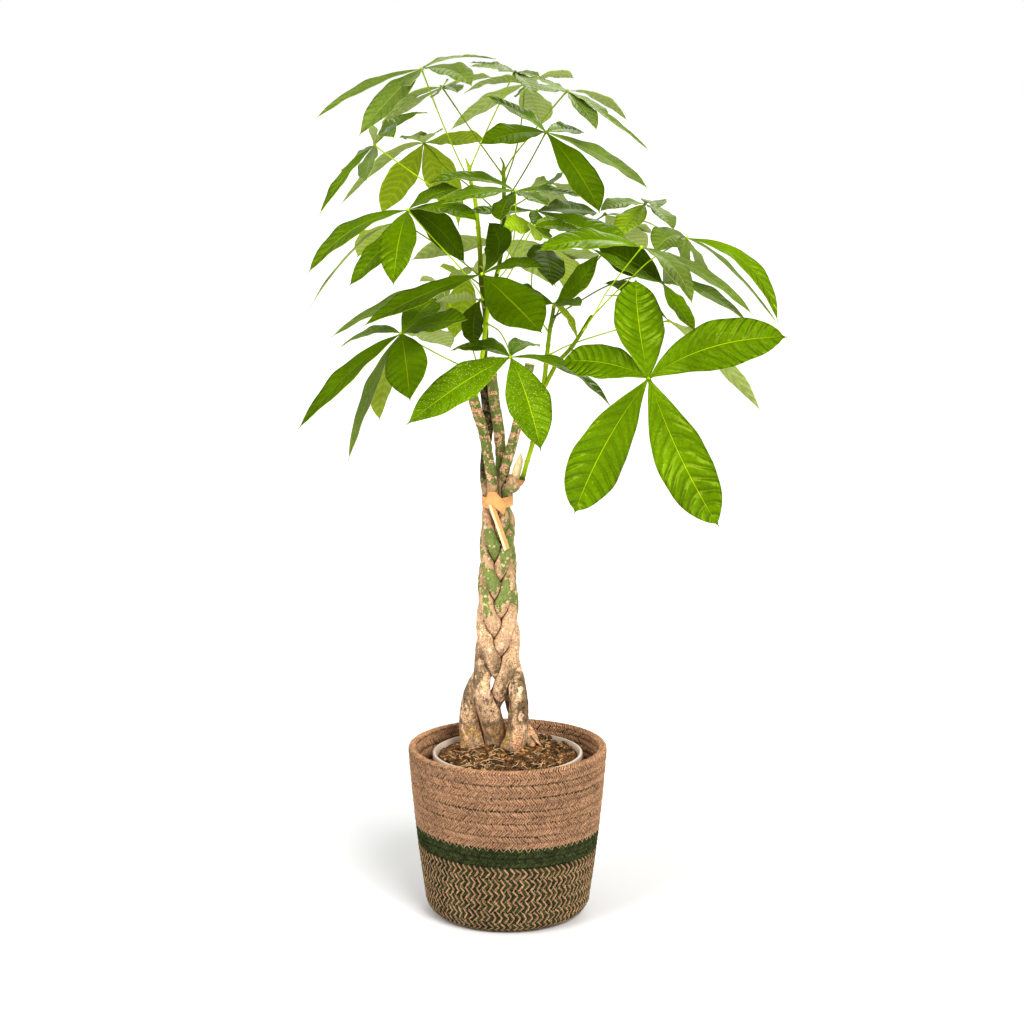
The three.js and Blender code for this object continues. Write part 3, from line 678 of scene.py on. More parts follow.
@dataclass(frozen=True)
class PlainFinish:
    """One colour with soft variation and a fine relief."""

    color: Color
    roughness: float
    patch: float = 30.0
    speck: float = 600.0
    amount: float = 0.4
    relief: float = 0.3
    depth: float = 0.5

    def paint(self, coat: Coat) -> bpy.types.Material:
        """Builds the finish in a new material."""
        color, speck = coat.varied(self.color, self.patch, self.speck, self.amount)
        return coat.finish(color, self.roughness, (speck, self.relief, self.depth))


@dataclass(frozen=True)
class StemFinish:
    """Green stem, dark where it is old and lime where it is young, with a brown scar at each ring."""

    # Dark green: painted shade where the stem stands in the leaves' shade.
    old: Color = (78, 94, 6)
    # Lime: where the stem is lit.
    lit_lime: Color = (204, 232, 10)
    scar: Color = (206, 150, 108)
    tone: Triple = (60.0, 500.0, 0.5)
    scarred: Pair = (0.35, 0.8)
    roughness: float = 0.45
    relief: Pair = (0.3, 0.4)
    shine: float = 0.2

    def paint(self, coat: Coat) -> bpy.types.Material:
        """Builds the finish.

        Args:
            coat: the material to build.

        Returns:
            The material.
        """
        # Share of lit lime over the dark green of painted shade, and of the brown scar.
        lit_share, scar = coat.pattern()
        color = coat.mix(coat.ramp(scar, *self.scarred), coat.mix(lit_share, self.old, self.lit_lime), self.scar)
        color, speck = coat.varied(color, *self.tone)
        return coat.finish(color, self.roughness, (speck, *self.relief), Specular_IOR_Level=self.shine)


@dataclass(frozen=True)
class CordFinish:
    """Spun cord: its strands differ in tone, darken at their edges and have fine fibres and pale flecks."""

    color: Color
    fleck: Color
    spread: float = 0.34
    speck: float = 0.55
    patchy: float = 0.7
    edge: float = 0.4
    edge_from: Pair = (0.3, 0.95)
    speck_light: Pair = (1.06, 0.55)
    scales: Pair = (25.0, 1700.0)
    fibre_scale: float = 1050.0
    fibres: Pair = (0.36, 0.62)
    fleck_scale: float = 700.0
    flecks: Pair = (0.64, 0.7)
    fleck_share: float = 0.7
    roughness: float = 0.95
    relief: Pair = (0.8, 0.8)
    shine: float = 0.1

    def paint(self, coat: Coat) -> bpy.types.Material:
        """Builds the finish.

        Args:
            coat: the material to build.

        Returns:
            The material.
        """
        own, edge = coat.pattern()
        bright = own * self.spread + (1.0 - self.spread / 2)
        # Painted shade: darker towards each strand's edges, where it meets its neighbours.
        bright = bright * (1.0 - coat.ramp(edge, *self.edge_from) * self.edge)
        specks = coat.ramp(coat.clouds(self.fibre_scale, 1.0), *self.fibres) * self.speck
        bright = bright * (specks + (self.speck_light[0] - self.speck * self.speck_light[1]))
        color, height = coat.varied(self.color, *self.scales, self.patchy)
        flecks = coat.ramp(coat.clouds(self.fleck_scale, 2.0), *self.flecks)
        color = coat.mix(flecks * self.fleck_share, coat.scaled(color, bright), self.fleck)
        return coat.finish(color, self.roughness, (height, *self.relief), Specular_IOR_Level=self.shine)


@dataclass(frozen=True)
class BarkFinish:
    """Smooth bark: green with tan patches above, scaly grey-brown below, dark where trunks press together.

    Heights are in metres. A pair of limits says where an effect starts and where it is whole.
    """

    tan: Color = (198, 166, 133)
    green: Color = (134, 146, 84)
    dot: Color = (236, 200, 170)
    brown: Color = (131, 111, 85)
    scale: Color = (208, 178, 144)
    # Cracks in the scaly bark, and also the painted shade where trunks press together.
    crack_and_shade: Color = (92, 68, 46)
    moss: Color = (206, 168, 98)
    rust: Color = (232, 174, 130)
    scarred: Color = (200, 150, 116)
    # Painted shadow line where trunks touch.
    contact_shadow: Color = (44, 28, 16)
    noises: tuple[tuple[float, float, Triple], ...] = (
        (58.0, 5.0, (1, 1, 0.55)), (300.0, 6.0, (1, 1, 0.6)), (900.0, 3.0, (1, 1, 1)),
        (135.0, 5.0, (0.42, 0.42, 1.4)), (115.0, 5.0, (1, 1, 0.45)))
    strand_shift: float = 0.7
    shaded: float = 0.76
    greening: Pair = (0.315, 0.4)
    upper_from: Pair = (0.285, 0.335)
    foot: Pair = (0.21, 0.168)
    neck: Pair = (0.38, 0.41)
    crown: Pair = (0.43, 0.455)
    scaly: Pair = (0.47, 0.6)
    cracked: Pair = (0.4, 0.3)
    bald: Pair = (0.525, 0.54)
    ringed: Pair = (0.52, 0.545)
    mottled: Pair = (0.44, 0.58)
    stained: Pair = (0.42, 0.56)
    mossy: Pair = (0.47, 0.42)
    rusty: Pair = (0.55, 0.58)
    flaky: Pair = (0.57, 0.6)
    dotted: Pair = (0.0, 0.06)
    dot_scale: float = 230.0
    dot_size: float = 0.42
    dotting: float = 0.8
    blend: Pair = (0.75, 0.25)
    ragged: float = 0.1
    barer: Row = (0.05, 0.075, 0.08, 0.2)
    worn: float = 0.55
    pale_foot: float = 0.5
    flaking: float = 0.75
    shading: Triple = (1.1, 0.07, 1.9)
    # Shares of painted shade where trunks press together, and of the painted shadow line where they touch.
    contact_shade: Pair = (0.4, 0.92)
    bumps: Pair = (0.6, 0.3)
    # Where the painted shadow line starts and where it is whole.
    touching: Pair = (0.66, 0.86)
    roughness: float = 0.72
    relief: Pair = (0.8, 1.6)
    shine: float = 0.2

    def paint(self, coat: Coat) -> bpy.types.Material:
        """Builds the finish.

        Args:
            coat: the material to build.

        Returns:
            The material.
        """
        where = coat.place()
        height = coat.split(where)[2]
        trunk, pressed = coat.pattern()
        strand = coat.calc("FLOOR", trunk)
        shift = coat.node("ShaderNodeCombineXYZ", {0: strand * self.strand_shift})[0]
        own = coat.node("ShaderNodeVectorMath", {0: where, 1: shift}, operation="ADD")[0]
        patches, grain, fine, rings, flakes = (coat.clouds(*noise, own) for noise in self.noises)
        mixed = patches * self.blend[0] + grain * self.blend[1]
        lifted = height + patches * self.ragged
        lower = 1.0 - coat.ramp(lifted, *self.greening)
        crown = coat.ramp(height, *self.crown)

        # Scaly bark below
        low = coat.mix(coat.ramp(mixed, *self.scaly), self.brown, self.scale)
        low = coat.mix(coat.ramp(grain, *self.cracked), low, self.crack_and_shade)

        # Green bark with bald patches, scars and dots above
        neck = coat.ramp(height, *self.neck) * (1.0 - crown)
        by_touch, by_neck, by_crown, by_foot = self.barer
        bare = mixed + pressed * by_touch + (neck * by_neck - crown * by_crown) + lower * by_foot
        bald = coat.ramp(bare, *self.bald)
        scars = crown * coat.ramp(rings + (grain - 0.5) * self.worn, *self.ringed)
        upper = coat.mix(bald, self.green, self.tan)
        upper = coat.mix(scars, upper, coat.mix(coat.ramp(fine, *self.mottled), self.scarred, self.dot))
        near, tint = coat.cells(self.dot_scale, own)
        dots = coat.ramp(coat.split(tint)[0] * self.dot_size - near, *self.dotted)
        upper = coat.mix(dots * self.dotting, upper, self.dot)
        color = coat.mix(coat.ramp(lifted, *self.upper_from), low, upper)

        # Stains at the foot, flakes, and the sawn stub
        foot = coat.ramp(height, *self.foot)
        stain = foot * coat.ramp(fine, *self.stained)
        flakes = coat.ramp(flakes, *self.flaky) * lower
        for share, layer in ((foot * self.pale_foot, self.scale),
                             (stain * coat.ramp(patches, *self.mossy), self.moss),
                             (stain * coat.ramp(patches, *self.rusty), self.rust),
                             (flakes * self.flaking, self.dot), (crown * (strand > 3.5), self.tan)):
            color = coat.mix(share, color, layer)

        # Light and dark, with the second trunk's top in shade
        dark = crown * ((strand > 0.5) * (strand < 1.5)) * self.shaded
        strong, less, rugged = self.shading
        shade = grain * strong + fine * strong - less - dark + (fine - 0.5) * lower * rugged
        color = coat.scaled(color, shade)
        # Painted shade where the trunks press together, and a painted shadow line where they touch.
        color = coat.mix(coat.ramp(pressed, 0.0, 1.0) * self.contact_shade[0], color, self.crack_and_shade)
        color = coat.mix(coat.ramp(pressed, *self.touching) * self.contact_shade[1], color, self.contact_shadow)
        rough = grain + (rings * self.bumps[0] + scars) + bald * self.bumps[1]
        return coat.finish(color, self.roughness, (rough, *self.relief), Specular_IOR_Level=self.shine)


class Finishes:
    """All the materials of the plant and the studio, by name."""

    # Lit and shaded copies of the leaf finish, one for each shade: painted light and shade over each leaf's
    # own tone.
    LEAVES = {
        Shade.DEEP: LeafFinish((81, 105, 0), (130, 150, 14), (150, 166, 56), 0.36, 0.12, quilting=1.1),
        Shade.FULL: LeafFinish((99, 127, 0), (162, 188, 14), (170, 186, 84)),
        Shade.FRESH: LeafFinish((106, 135, 0), (172, 198, 14), (158, 177, 44)),
        Shade.HAZY: LeafFinish((112, 132, 54), (162, 182, 80), (172, 186, 112), 0.4, 0.3, quilting=1.0),
        Shade.LIME: LeafFinish((156, 180, 38), (200, 220, 90), (172, 198, 70), 0.4, 0.2),
        Shade.QUILTED: LeafFinish((96, 125, 0), (160, 186, 14), (170, 186, 84), 0.24, quilting=1.9,
                                  quilt_shade=0.26),
        Shade.SPOTTED: LeafFinish((100, 129, 0), (168, 194, 14), (158, 177, 44), 0.34, 0.2, quilting=1.0,
                                  spots=0.32),
    }
    OTHERS = {
        "green_stem": StemFinish(),
        "bark": BarkFinish(),
        "cut_wood": PlainFinish((250, 226, 188), 0.8, 200, 900, 0.6),
        "raffia": PlainFinish((230, 176, 116), 0.6, 120, 1400, 0.7),
        "tan_cord": CordFinish((169, 135, 107), (232, 186, 136), 0.34, 0.72, 0.4, 0.72),
        # A lighter copy of the tan cord for the rim and the rows inside: painted light.
        "lit_rim_cord": CordFinish((188, 150, 118), (236, 192, 144), 0.34, 0.72, 0.4, 0.72),
        "green_cord": CordFinish((69, 75, 46), (108, 116, 74), 0.7, 0.9),
        # Dark walls behind the braid: painted shade where the gaps show only shadow.
        "tan_cord_shadow": PlainFinish((92, 64, 40), 1.0, 90, 900, 0.8),
        "green_cord_shadow": PlainFinish((26, 30, 16), 1.0, 90, 900, 0.8),
        "thread": PlainFinish((212, 184, 148), 0.9),
        "pot_plastic": PlainFinish((204, 188, 172), 0.38, 20, 200, 0.3, 0.1, 0.2),
        "soil": PlainFinish((104, 76, 46), 1.0, 160, 460, 3.2, 0.8, 2.0),
        "soil_crumb": PlainFinish((142, 108, 66), 1.0, 200, 700, 3.4, 0.8, 1.4),
        "soil_chip": PlainFinish((178, 134, 82), 1.0, 200, 700, 2.8, 0.8, 1.4),
        "soil_fibre": PlainFinish((236, 208, 166), 0.9, 80, 600, 0.5),
        "floor": PlainFinish((248, 248, 248), 1.0, 1, 1, 0.0, 0.0),
    }

    def __init__(self) -> None:
        """Builds every material."""
        tone = tone_group()
        self.leaf = {shade: (finish.paint(Coat(f"leaf_{shade.value}", tone)),
                             finish.paint(Coat(f"leaf_{shade.value}_under", tone), False))
                     for shade, finish in self.LEAVES.items()}
        self.other = {name: finish.paint(Coat(name, tone)) for name, finish in self.OTHERS.items()}

    def coats(self, *names: str) -> list[bpy.types.Material]:
        """Gives the materials with these names."""
        return [self.other[name] for name in names]


# Basket


class Cord(Enum):
    """Which cord a row of the basket is made of."""

    TAN = "tan"
    GREEN = "green"
    BOTH = "both"


@dataclass
class Basket:
    """Coiled cord basket: one flat braid that climbs as it goes round, sewn edge to edge."""

    finishes: Finishes
    height: float = 174.0
    rim_radius: float = 100.0
    foot_radius: float = 80.5
    belly: float = 7.9
    wall: float = 7.0
    wall_lean: float = 0.06
    floor: float = 8.0
    floor_slope: float = 8.0
    corner: float = 20.0
    inset: float = 1.9
    row: float = 12.4
    ripple: float = 0.7
    ripple_rate: Pair = (2.0, 0.09)
    least_ripple: float = 0.4
    eases: Triple = (22.0, 26.0, 4.0)
    plait_pitches: Pair = (2.7, 3.05)
    strand_width: float = 1.3
    strand_depth: float = 1.7
    strand_reach: float = 0.36
    strand_lift: float = 0.226
    slant: float = math.radians(50)
    two_tone_widths: Pair = (1.04, 1.14)
    unevenness: Row = (0.25, 0.06, 0.12, 0.08)
    swings: Pair = (0.07, 0.1)
    sink: float = 0.6
    lead: float = 0.3
    bluntness: float = 0.3
    green_top: float = 93.0
    green_foot: float = 73.0
    zigzag_foot: float = -11.0
    rim_foot: float = 159.5
    inside: float = 52.0
    tan_rows: int = 5
    zigzag_rows: int = 7
    green_rows: int = 2
    seam: float = 0.38
    stitch_pitch: float = 8.2
    stitch_reach: float = 2.8
    stitch_drift: float = 0.3
    turn_steps: int = 128
    outline_steps: int = 8
    clear: float = 0.05
    seed: int = 11

    def radius(self, height: float) -> float:
        """Gives the outer radius at a height.

        Args:
            height: the height.

        Returns:
            The radius.
        """
        share = height / self.height
        straight = self.foot_radius + (self.rim_radius - self.foot_radius) * share
        return straight + self.belly * share * (1 - share)

    def surface(self, level: float) -> Triple:
        """Finds a place on the wall, up the outside, over the rim and down the inside.

        Args:
            level: distance along that path, counted from the floor.

        Returns:
            Radius, height and how far the surface's normal leans down, in radians.
        """
        bow = self.wall / 2
        shoulder = self.height - bow
        if level < self.corner:
            turn = min((self.corner - level) / self.corner, math.pi / 2)
            centre = self.radius(self.corner) - self.corner
            return centre + self.corner * math.cos(turn), self.corner * (1 - math.sin(turn)), turn
        if level <= shoulder:
            return self.radius(level), level, self.wall_lean
        turn = min((level - shoulder) / bow, math.pi)
        left = level - shoulder - math.pi * bow
        if left > 0:
            return self.radius(shoulder - left) - self.wall, shoulder - left, -math.pi
        return self.radius(shoulder) - bow + bow * math.cos(turn), shoulder + bow * math.sin(turn), -turn

    def sunk(self, level: float, lift: float = 1.0) -> Pair:
        """Finds the radius and height just under the surface.

        Args:
            level: distance along the surface.
            lift: share of the inset that counts upwards.

        Returns:
            Radius and height.
        """
        radius, height, lean = self.surface(level)
        return radius - self.inset * math.cos(lean), height + self.inset * math.sin(lean) * lift

    def drop(self, turn: float, level: float) -> float:
        """Gives how far above its middle the climbing braid lies.

        Args:
            turn: turn from the back.
            level: distance along the surface.

        Returns:
            The distance, in millimetres.
        """
        low, high, past = self.eases
        ease = min(1.0, max(level, 0) / low, max(self.rim_foot + past - level, 0) / high)
        wide, tall = self.ripple_rate
        ripple = self.ripple * noise.noise(Vector((*around(wide, turn), level * tall)))
        return self.row * (0.5 - turn / math.tau) * ease + ripple * min(1.0, ease + self.least_ripple)

    def backing(self, color: str, foot: float, top: float, coat: str) -> None:
        """Builds the wall that the braid's gaps show.

        Args:
            color: the cord's colour, as in the names of its slot and its solid.
            foot: height it starts at; at 0 it has the basket's floor.
            top: height it ends at.
            coat: its finish.
        """
        steps = self.outline_steps
        bow = self.wall / 2
        ridge = self.height - bow
        outline = []
        if foot <= 0:
            outline.append((0.0, 0.0))
            for step in range(steps + 1):
                outline.append(self.sunk(self.corner * (1 - math.pi / 2 * (1 - step / steps)), 0.5))
            foot = self.corner
        for step in range(steps + 1):
            height = foot + (min(top, ridge) - foot) * step / steps
            outline.append((self.radius(height) - self.inset, height))
        if top > ridge:
            outline += [self.sunk(ridge + math.pi * bow * step / steps) for step in range(1, steps + 1)]
        else:
            outline.append((self.radius(top) - self.wall + self.inset, top))
        inner = self.radius(foot) - self.wall + self.inset
        outline.append((inner, foot))
        if foot <= self.corner:
            outline += [(inner - self.floor_slope, self.floor), (0.0, self.floor)]
        shell = turned_shell(f"wall_{color}", outline, self.turn_steps, *self.finishes.coats(coat))
        dress(shell, f"cord_{color}", f"basket_{color}")

    def strand(self) -> Mesh:
        """Models one plump stretch of braid strand, lying along X, 1 across its half-length.

        Returns:
            Its points and faces.
        """
        clear_selection()
        bpy.ops.mesh.primitive_uv_sphere_add(segments=6, ring_count=5, radius=1, location=(0, 0, 0),
                                             rotation=(0, math.pi / 2, 0))
        bpy.ops.object.transform_apply(location=False, rotation=True, scale=False)
        points, faces = take_pattern()
        girth = np.linalg.norm(points[:, 1:], axis=1, keepdims=True)
        points[:, 1:] /= np.maximum(girth, 0.1) ** self.bluntness
        return points, faces

    def lay_braid(self, sheaf: Sheaf, foot: float, top: float, cord: Cord) -> None:
        """Lays one round of braid: two slanting strands for each step along it.

        Args:
            sheaf: the piece it joins.
            foot: the round's lower edge.
            top: the round's upper edge.
            cord: the cord it is made of.
        """
        points, faces = self.shape
        # Place across each strand, for the painted shade at its edges.
        edge = np.abs(points[:, 2])
        both = cord is Cord.BOTH
        pitch = top - foot
        middle = (foot + top) / 2
        count = int(math.tau * self.surface(middle)[0] / self.plait_pitches[both] / 2) * 2
        drift, *changes = self.unevenness
        wander = (drift, self.swings[both], *changes)
        for order in range(count * 2):
            step, half = order // 2, order % 2 * 2 - 1
            turn = step / count * math.tau
            up, tilt, longer, deeper, wider = self.draw.normal(0, 1, 5) * wander
            level = middle + half * pitch * self.strand_lift + self.drop(turn, middle) + up
            radius, height, lean = self.surface(level)
            swing = -self.slant * half + tilt
            length = pitch * self.strand_reach * (1 + longer)
            depth = self.strand_depth * (1 + deeper)
            width = self.strand_width * (1 + wider) * (self.two_tone_widths[step % 2] if both else 1)
            local = points * (length, depth, width)
            forward = local[:, 0] * math.cos(swing) - local[:, 2] * math.sin(swing)
            upward = local[:, 0] * math.sin(swing) + local[:, 2] * math.cos(swing)
            outward = local[:, 1] - depth * self.sink
            away = radius + outward * math.cos(lean) + upward * math.sin(lean)
            rise = np.maximum(height + upward * math.cos(lean) - outward * math.sin(lean), self.clear)
            way = math.pi / 2 + turn + (forward - length * self.lead) / radius
            placed = np.column_stack([away * np.cos(way), away * np.sin(way), rise])
            finish = {Cord.TAN: 0, Cord.GREEN: 1, Cord.BOTH: step % 2}[cord]
            own = np.full(len(placed), self.draw.random())
            sheaf.add((placed, faces), finish, np.column_stack([own, edge]))

    def lay_stitches(self, sheaf: Sheaf, level: float, finish: int = 2, radius: float = 0.3) -> None:
        """Sews a zigzag thread over the joint between two rounds.

        Args:
            sheaf: the piece it joins.
            level: height of the joint.
            finish: number of its finish.
            radius: the thread's radius.
        """
        count = int(math.tau * self.surface(level)[0] / self.stitch_pitch) * 2
        line = []
        for step in range(count + 1):
            turn = step / count * math.tau
            reach = self.stitch_reach if step % 2 else -self.stitch_reach
            rise = reach + self.draw.normal(0, self.stitch_drift) + self.drop(turn, level)
            away, height, _ = self.surface(level + rise)
            line.append((*around(away, math.pi / 2 + turn), max(height, radius + self.clear), radius))
        sheaf.add(swept_tube(np.array(line), 4), finish)

    def braid(self, part: str, levels: Sequence[float], cord: Cord, plain: str = "tan_cord",
              sewn: bool = False, slot: str = "") -> None:
        """Lays a stretch of the braid as one piece.

        Args:
            part: what its name ends with.
            levels: the edges of its rounds, upwards.
            cord: the cord it is made of.
            plain: the finish of its pale strands.
            sewn: whether the thread shows in the joints.
            slot: the record's material slot, where its name isn't the part's.
        """
        sheaf = Sheaf()
        for foot, top in zip(levels[:-1], levels[1:]):
            self.lay_braid(sheaf, foot, top, cord)
            if sewn:
                self.lay_stitches(sheaf, foot)
        coats = self.finishes.coats(plain, "green_cord", "thread")
        dress(sheaf.piece(f"braid_{part}", coats), slot or f"cord_{part}")

    def build(self) -> None:
        """Builds the wall, the braid and the thread of its seam."""
        self.draw = np.random.default_rng(self.seed)
        self.shape = self.strand()
        # Dark walls behind the braid, painted shade for its gaps.
        self.backing("tan", self.green_top, self.height, "tan_cord_shadow")
        self.backing("green", self.green_foot, self.green_top, "green_cord_shadow")
        self.backing("zigzag", 0, self.green_foot, "green_cord_shadow")
        bow = self.wall / 2
        ridge = self.height - bow
        edges = [*np.linspace(self.green_top, self.rim_foot, self.tan_rows + 1), ridge + 1]
        self.braid("tan", edges, Cord.TAN, sewn=True)
        inner = ridge + math.pi * bow - 0.5
        edges = [ridge + 1, *np.arange(inner, inner + self.inside, self.row)]
        # The rim and the rows inside take the lighter cord: painted light.
        self.braid("rim", edges, Cord.TAN, "lit_rim_cord", slot="cord_tan")
        self.braid("green", np.linspace(self.green_foot, self.green_top, self.green_rows + 1), Cord.GREEN)
        edges = np.linspace(self.zigzag_foot, self.green_foot, self.zigzag_rows + 1)
        self.braid("zigzag", edges, Cord.BOTH, sewn=True)
        seam = Sheaf()
        self.lay_stitches(seam, self.green_top, 0, self.seam)
        dress(seam.piece("seam_thread", self.finishes.coats("thread")), "cord_tan")


# Nursery pot and soil


@dataclass
class NurseryPot:
    """Thin plastic pot with a rolled rim."""

    finishes: Finishes
    rim_radius: float = 76.0
    rim_height: float = 167.0
    foot_radius: float = 57.0
    foot: float = 8.3
    wall: float = 1.6
    neck: Pair = (3.4, 6.0)
    rim: tuple[Pair, ...] = ((-1, -6), (0, -5), (0, -1), (-0.4, -0.3), (-1.2, 0), (-2.6, 0), (-3.3, -0.6))
    steps: int = 96

    def build(self) -> None:
        """Turns the pot: up its outside, over its rim and down its inside."""
        neck_radius, neck = self.rim_radius - self.neck[0], self.rim_height - self.neck[1]
        outline = [
            (0.0, self.foot), (self.foot_radius - 3, self.foot), (self.foot_radius, self.foot + 3),
            (neck_radius, neck), *((self.rim_radius + out, self.rim_height + up) for out, up in self.rim),
            (neck_radius - self.wall, neck - 1), (self.foot_radius - self.wall, self.foot + 4),
            (0.0, self.foot + self.wall),
        ]
        pot = turned_shell("nursery_pot_fine", outline, self.steps, *self.finishes.coats("pot_plastic"))
        dress(pot, "pot_plastic", "nursery_pot")


@dataclass
class Soil:
    """Crumbly potting soil with pale fibres."""

    finishes: Finishes
    radius: float = 70.4
    level: float = 163.5
    mound: Pair = (4.0, 57.0)
    lumps: Pair = (2.8, 0.11)
    heap: Row = (24.0, 50.0, 24.0, 5.5)
    edge_drop: float = 1.5
    foot_level: float = 11.0
    foot_radius: float = 54.6
    rings: int = 30
    sides: int = 96
    crumbs: int = 3700
    crumb_sizes: Pair = (0.5, 2.4)
    crumb_kinds: Triple = (0.56, 0.34, 0.1)
    crumb_rough: Pair = (0.7, 0.6)
    crumb_wide: Pair = (0.6, 0.6)
    crumb_flat: float = 0.75
    crumb_lift: float = 0.25
    margins: Pair = (2.5, 8.0)
    fibres: int = 150
    fibre_lengths: Pair = (4.0, 10.0)
    fibre_bow: float = 4.0
    fibre_shares: Row = (-0.5, -0.2, 0.15, 0.5)
    clump_every: int = 6
    fibre_lift: float = 1.2
    fibre_radii: Pair = (0.2, 0.15)
    clump: Triple = (-32.0, -40.0, 9.0)
    seed: int = 7

    def top(self, x: float, y: float) -> float:
        """Gives the soil's height at a place.

        Args:
            x: place across, in millimetres.
            y: place behind, in millimetres.

        Returns:
            The height, in millimetres.
        """
        rise = self.mound[0] * max(0.0, 1 - (math.hypot(x, y) / self.mound[1]) ** 2)
        lumps = noise.fractal(Vector((x * self.lumps[1], y * self.lumps[1], 0.7)), 1.0, 2.0, 4)
        across, behind, reach, height = self.heap
        heaped = height * math.exp(-((x - across) ** 2 + (y - behind) ** 2) / reach ** 2)
        return self.level + rise + heaped + lumps * self.lumps[0]

    def spot(self, margin: float) -> Pair:
        """Picks a place on the soil, at least a margin from its edge."""
        radius = (self.radius - margin) * math.sqrt(self.draw.random())
        return around(radius, self.draw.random() * math.tau)

    def build(self) -> None:
        """Builds the block of soil, its crumbs and its fibres."""
        turns = [side / self.sides * math.tau for side in range(self.sides)]
        points = [(0.0, 0.0, self.top(0, 0))]
        for ring in range(1, self.rings + 1):
            drop = self.edge_drop if ring == self.rings else 0
            for x, y in (around(self.radius * ring / self.rings, turn) for turn in turns):
                points.append((x, y, self.top(x, y) - drop))
        points += [(*around(self.foot_radius, turn), self.foot_level) for turn in turns]
        faces: list[Face] = [[0, 1 + side, 1 + (side + 1) % self.sides] for side in range(self.sides)]
        faces += [face[:1] + face[:0:-1] for face in quads(self.rings + 1, self.sides, 1)]
        faces.append([1 + self.rings * self.sides + side for side in range(self.sides)][::-1])
        sheaf = Sheaf()
        sheaf.add((np.array(points), faces))
        self.draw = np.random.default_rng(self.seed)
        self.scatter(sheaf)
        self.strew(sheaf)
        coats = self.finishes.coats("soil", "soil_crumb", "soil_chip", "soil_fibre")
        dress(sheaf.piece("soil_fine", coats), "soil", "soil")

    def scatter(self, sheaf: Sheaf) -> None:
        """Scatters crumbs over the soil.

        Args:
            sheaf: the piece they join.
        """
        clear_selection()
        bpy.ops.mesh.primitive_ico_sphere_add(subdivisions=1, radius=1, location=(0, 0, 0))
        crumb, faces = take_pattern()
        draw = self.draw
        for _ in range(self.crumbs):
            x, y = self.spot(self.margins[0])
            size = self.crumb_sizes[0] + self.crumb_sizes[1] * draw.random() ** 4
            rough = crumb * (self.crumb_rough[0] + self.crumb_rough[1] * draw.random((len(crumb), 1))) * size
            rough = rough * (1, self.crumb_wide[0] + self.crumb_wide[1] * draw.random(), self.crumb_flat)
            finish = int(draw.choice(3, p=self.crumb_kinds))
            sheaf.add((rough + (x, y, self.top(x, y) + size * self.crumb_lift), faces), finish)

    def strew(self, sheaf: Sheaf) -> None:
        """Strews fibres over the soil, some of them in a clump.

        Args:
            sheaf: the piece they join.
        """
        draw = self.draw
        for order in range(self.fibres):
            x, y = self.spot(self.margins[1])
            if order % self.clump_every == 0:
                x, y = (self.clump[axis] + draw.normal(0, self.clump[2]) for axis in (0, 1))
            way = draw.random() * math.tau
            length = self.fibre_lengths[0] + self.fibre_lengths[1] * draw.random()
            bow = draw.normal(0, self.fibre_bow)
            places = []
            for share in self.fibre_shares:
                along, side = share * length, bow * (0.25 - share ** 2)
                px = x + along * math.cos(way) - side * math.sin(way)
                py = y + along * math.sin(way) + side * math.cos(way)
                height = self.top(px, py) + self.fibre_lift + self.fibre_lift * draw.random()
                places.append((px, py, height, self.fibre_radii[0] + self.fibre_radii[1] * draw.random()))
            sheaf.add(swept_tube(smooth_path(places, 3), 4), 3)


# Trunks and shoots


@dataclass(frozen=True)
class Trunk:
    """One trunk: places up its foot, up its top, and its sawn end as seen, each with a radius."""

    node: str
    foot: tuple[Row, ...]
    top: tuple[Row, ...]
    end: tuple[Row, ...]


TRUNKS = (
    Trunk("trunk_back",
          ((-9, 44, 128, 9), (-9, 44, 165, 10), (-14, 33, 192, 9), (-16, 21, 208, 8.6), (-8, 6, 228, 8.6)),
          ((-8, 5, 424, 5.4), (-6, 6, 442, 5.2), (-1, 3, 462, 5), (8, 0, 494, 5)),
          ((523, 400, -2, 4.8), (530, 364, -3, 4.6))),
    Trunk("trunk_left",
          ((-36, 25, 128, 11), (-36, 25, 165, 12.5), (-38.6, 21, 190, 11), (-37.5, 17, 210, 10),
           (-33, 16, 230, 9.2)),
          ((-19.5, 12, 424, 5.2), (-23, 13, 446, 4.6), (-21, 17, 478, 4.6), (-19, 18, 500, 4.8)),
          ((486, 400, 18, 4.8), (483, 362, 18, 4.4))),
    Trunk("trunk_middle",
          ((-14, 28, 128, 9), (-14, 27, 165, 9.8), (-16, 16, 193, 11.6), (-22.5, 5, 215, 10.2),
           (-26, 0, 232, 8.8)),
          ((-15, 0, 424, 5.4), (-15, -1, 440, 5.2), (-19, -2, 468, 5.2), (-24, -5, 496, 5.2)),
          ((476, 408, -8, 5.2), (464.5, 363, -10, 4.6))),
    Trunk("trunk_right",
          ((18, 33, 128, 10), (18, 33, 163, 11), (15, 30, 176, 9.8), (12, 27, 190, 9), (8, 23, 206, 8.8),
           (2, 15, 228, 8.6)),
          ((-8, 17.5, 424, 5.4), (-7, 16, 442, 5.2), (-7, 11, 475, 5.2), (-10, 9, 505, 5.4)),
          ((494, 399, 7, 5.4), (490, 357, 6, 4.8))),
    Trunk("trunk_front",
          ((4, 9, 128, 11.5), (4.5, 9, 163, 12.5), (8, 4, 178, 11), (10, 3, 190, 10.6), (11, 0, 210, 10),
           (10, -2, 230, 9.4)),
          ((-1.5, 2.5, 424, 4.9), (-0.5, 1.5, 436, 5.7)),
          ((512.4, 487, -1, 6.4), (514, 481, -2, 7.6), (515.6, 475.5, -2, 6.2))),
)


